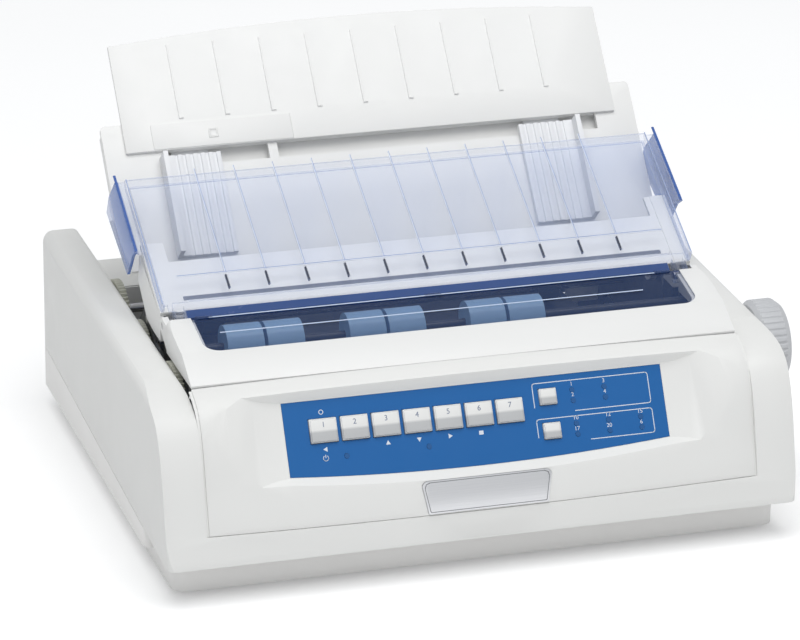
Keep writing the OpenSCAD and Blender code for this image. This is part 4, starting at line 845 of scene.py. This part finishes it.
# Pins of the mains inlet, and the screws of the rear wall and of the pan's bosses
INLET_PINS = ((-148, 70.2), (-154, 61.8), (-142, 61.8))
INLET_REACH = (-11.5, -4.5)
REAR_SCREWS = (-166, -130, -84)
BOSS_SCREWS = ((-184, -128), (-184, 148), (184, -128), (184, 148))

# The strip over the pan's low rear wall: half its width, its foot and head, and the pitch of its ribs
SEAM_HALF_WIDTH, SEAM_FOOT, SEAM_HEAD, SEAM_PITCH = 171.3, 32.1, 42.1, 14.5


class PRINTER_OT_rear_and_underside(bpy.types.Operator):
    """Add the sockets' contacts and clips, the screws, the deck's baffles and the rear seam strip"""
    bl_idname = "printer.rear_and_underside"
    bl_label = "Rear and Underside"

    def execute(self, context):
        plated = drawn("Plated Contact", (0.80, 0.62, 0.28, 1), 0.25, (20.0, 4.0, 4.0))
        steel = drawn("Clip Steel", (0.60, 0.60, 0.62, 1), 0.25)
        shade = sleek("Recess Shade", (0.02, 0.02, 0.022, 1), 0.6)
        contacts = [(middle + (k - (count - 1) / 2) * pitch, v, width, 0.36, *CONTACT_REACH)
                    for middle, count, pitch, width in SIGNAL_SOCKETS for k in range(count)
                    for v in CONTACT_ROWS]
        bars_piece("socket_contacts", plated, "printer_base", behind, contacts, 0.05)

        mesh = bmesh.new()
        for u, v in INLET_PINS:
            add_bar(mesh, u, v, 2.0, 4.0, behind, *INLET_REACH, 0.5)
        clip = rounded_outline(4.4, 11, 1.6)
        for side in (-1, 1):
            place = SIGNAL_SOCKETS[0][0] + side * 31
            add_frame(mesh, shifted(clip, place, SOCKET_HEIGHT), 1.0, behind, 0.0, 0.9)
        mesh_piece("socket_pins_and_clips", mesh, steel, "printer_base")

        # Screw heads, with dark crossed bars on them as the painted shade of their recesses
        mesh, marks = bmesh.new(), bmesh.new()
        for u in REAR_SCREWS:
            add_screw(mesh, marks, u, SOCKET_HEIGHT, behind, 2.6, 0.85)
        for u, v in BOSS_SCREWS:
            add_screw(mesh, marks, u, v, below, 3.4, 1.4)
        mesh_piece("case_screws", mesh, steel, "printer_base")
        mesh_piece("screw_recess_shade", marks, shade, "printer_base")

        # Baffles down from the front edge of the rear deck, at both of its ends
        bars_piece("deck_baffles", moulded("Baffle Plastic", colours().housing, 0.5), "printer_base",
                   behind, [(side * 158, 75.8, 29, 41, -51.8, -50.8) for side in (-1, 1)], 2.0)

        # Closes the gap over the low rear wall of the pan, with a row of ribs as on its sides
        mesh = bmesh.new()
        strip = box_outline(-SEAM_HALF_WIDTH, SEAM_FOOT, SEAM_HALF_WIDTH, SEAM_HEAD)
        add_slab(mesh, strip, behind, -4.3, -2.3)
        for k in range(-11, 12):
            add_bar(mesh, k * SEAM_PITCH, (SEAM_FOOT + SEAM_HEAD) / 2, 1.0, 7.0, behind, -2.4, -2.0, 0.3)
        mesh_piece("rear_seam_strip", mesh, moulded("Seam Strip", colours().pan, 0.52), "printer_base")

        # A plain upright at one end of the rocker
        bars_piece("rocker_upright", sleek("Rocker Ink", (0.8, 0.8, 0.8, 1), 0.5), "rocker",
                   behind, [(-104, 68.6, 0.5, 2.4, 0.6, 0.98)], 0.05)
        return {"FINISHED"}


FLOOR_GREYS = ((0.86, 0.86, 0.86, 1), (0.88, 0.88, 0.88, 1))
FLOOR_GLOW = 0.25  # emission of the floor where the camera, a gloss or a clear piece shows it
SKY_COLOUR = (0.96, 0.98, 1.0, 1)
SKY_STRENGTH = 0.53
LAMP_AIM = Vector((0, 0, 0.1))
FRONT_SHARE = 0.06  # power of the front lamp as a share of the key lamp's

# The camera: what it looks at and from how far in metres, its angles in degrees, its lens in mm and its shift
CAMERA_AIM = Vector((0, 0.007, 0.07872))
CAMERA_DISTANCE = 2.9284
CAMERA_YAW, CAMERA_RISE, CAMERA_ROLL = -16.95, 21.74, 0.57
CAMERA_LENS, CAMERA_SENSOR = 208.2, 36
CAMERA_SHIFT = (-0.00584, 0.0353)


def floor_finish():
    """Pale matt floor that shows white behind the printer and keeps the printer's shadow."""
    material = bpy.data.materials.new("Studio Floor")
    material.use_nodes = True
    tree = material.node_tree
    surface = tree.nodes["Principled BSDF"]
    surface.inputs["Roughness"].default_value = 0.85
    surface.inputs["Specular IOR Level"].default_value = 0.1
    surface.inputs["Emission Color"].default_value = (1, 1, 1, 1)
    place = add_node(tree, "ShaderNodeTexCoord")
    fibre = add_node(tree, "ShaderNodeTexNoise", in_Scale=6.0, in_Detail=3.0)
    tree.links.new(place.outputs["Object"], fibre.inputs["Vector"])
    tree.links.new(mix_colour(tree, fibre.outputs["Fac"], *FLOOR_GREYS), surface.inputs["Base Color"])
    rays = add_node(tree, "ShaderNodeLightPath").outputs
    seen = rays["Is Camera Ray"]
    for ray in ("Is Glossy Ray", "Is Transmission Ray"):
        either = add_node(tree, "ShaderNodeMath", operation="MAXIMUM")
        tree.links.new(seen, either.inputs[0])
        tree.links.new(rays[ray], either.inputs[1])
        seen = either.outputs[0]
    glow = add_node(tree, "ShaderNodeMath", operation="MULTIPLY")
    tree.links.new(seen, glow.inputs[0])
    glow.inputs[1].default_value = FLOOR_GLOW
    tree.links.new(glow.outputs[0], surface.inputs["Emission Strength"])
    return material


def hang_lamp(name, place, size, power):
    """A soft rectangular lamp at a place, turned to the printer."""
    light = bpy.data.lights.new(name, "AREA")
    light.shape = "RECTANGLE"
    light.size, light.size_y = size
    light.energy = power
    lamp = bpy.data.objects.new(name, light)
    lamp.location = place
    lamp.rotation_euler = (LAMP_AIM - Vector(place)).to_track_quat("-Z", "Y").to_euler()
    bpy.context.scene.collection.objects.link(lamp)


def place_camera():
    """The camera at its viewing angle, turned and shifted to frame the printer."""
    data = bpy.data.cameras.new("Camera")
    data.sensor_width = CAMERA_SENSOR
    data.lens = CAMERA_LENS
    data.shift_x, data.shift_y = CAMERA_SHIFT
    data.clip_end = 100
    camera = bpy.data.objects.new("Camera", data)
    yaw, rise, roll = math.radians(CAMERA_YAW), math.radians(CAMERA_RISE), math.radians(CAMERA_ROLL)
    back = Vector((math.sin(yaw) * math.cos(rise), -math.cos(yaw) * math.cos(rise), math.sin(rise)))
    right = Vector((math.cos(yaw), math.sin(yaw), 0))
    up = back.cross(right)
    across = right * math.cos(roll) + up * math.sin(roll)
    above = -right * math.sin(roll) + up * math.cos(roll)
    turn = Matrix((across, above, back)).transposed().to_4x4()
    camera.matrix_world = Matrix.Translation(CAMERA_AIM + back * CAMERA_DISTANCE) @ turn
    bpy.context.scene.collection.objects.link(camera)
    bpy.context.scene.camera = camera


class PRINTER_OT_stage(bpy.types.Operator):
    """Lay the floor, hang the lamps and place the camera"""
    bl_idname = "printer.stage"
    bl_label = "Stage"

    def execute(self, context):
        scene = context.scene
        scene.view_settings.view_transform = "Standard"
        mesh = bmesh.new()
        bmesh.ops.create_grid(mesh, x_segments=2, y_segments=2, size=sizes().floor_reach)
        data = bpy.data.meshes.new("floor")
        mesh.to_mesh(data)
        mesh.free()
        data.materials.append(floor_finish())
        floor = bpy.data.objects.new("floor", data)
        scene.collection.objects.link(floor)

        scene.world = bpy.data.worlds.new("Studio")
        scene.world.use_nodes = True
        background = scene.world.node_tree.nodes["Background"]
        background.inputs["Color"].default_value = SKY_COLOUR
        background.inputs["Strength"].default_value = SKY_STRENGTH

        power = sizes().key_light
        hang_lamp("Key Lamp", (-0.1, -0.75, 2.6), (2.2, 1.8), power)
        hang_lamp("Front Lamp", (-0.3, -2.4, 1.0), (1.6, 1.0), power * FRONT_SHARE)
        place_camera()
        return {"FINISHED"}


# ---------------------------------------------------------------- panel and registration


OPERATORS = (
    PRINTER_OT_stage,
    PRINTER_OT_mouldings,
    PRINTER_OT_clear_parts,
    PRINTER_OT_cover_trim,
    PRINTER_OT_deck_trim,
    PRINTER_OT_controls,
    PRINTER_OT_front_trim,
    PRINTER_OT_mechanism,
    PRINTER_OT_panel_print,
    PRINTER_OT_rear_and_underside,
)


class PRINTER_PT_sidebar(bpy.types.Panel):
    """Lists the settings and the pieces of the printer"""
    bl_idname = "PRINTER_PT_sidebar"
    bl_label = "Dot Matrix Printer"
    bl_space_type = "VIEW_3D"
    bl_region_type = "UI"
    bl_category = "Printer"

    def draw(self, context):
        layout = self.layout
        for settings in (context.scene.printer_colours, context.scene.printer_sizes):
            for key in settings.bl_rna.properties.keys():
                if key not in ("rna_type", "name"):
                    layout.prop(settings, key)
        for operator in OPERATORS:
            layout.operator(operator.bl_idname)


CLASSES = (PrinterColours, PrinterSizes) + OPERATORS + (PRINTER_PT_sidebar,)


def register():
    for cls in CLASSES:
        bpy.utils.register_class(cls)
    bpy.types.Scene.printer_colours = PointerProperty(type=PrinterColours)
    bpy.types.Scene.printer_sizes = PointerProperty(type=PrinterSizes)


def unregister():
    del bpy.types.Scene.printer_sizes
    del bpy.types.Scene.printer_colours
    for cls in reversed(CLASSES):
        bpy.utils.unregister_class(cls)


def main():
    """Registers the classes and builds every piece."""
    register()
    for operator in OPERATORS:
        category, name = operator.bl_idname.split(".")
        getattr(getattr(bpy.ops, category), name)()


if __name__ == "__main__":
    main()
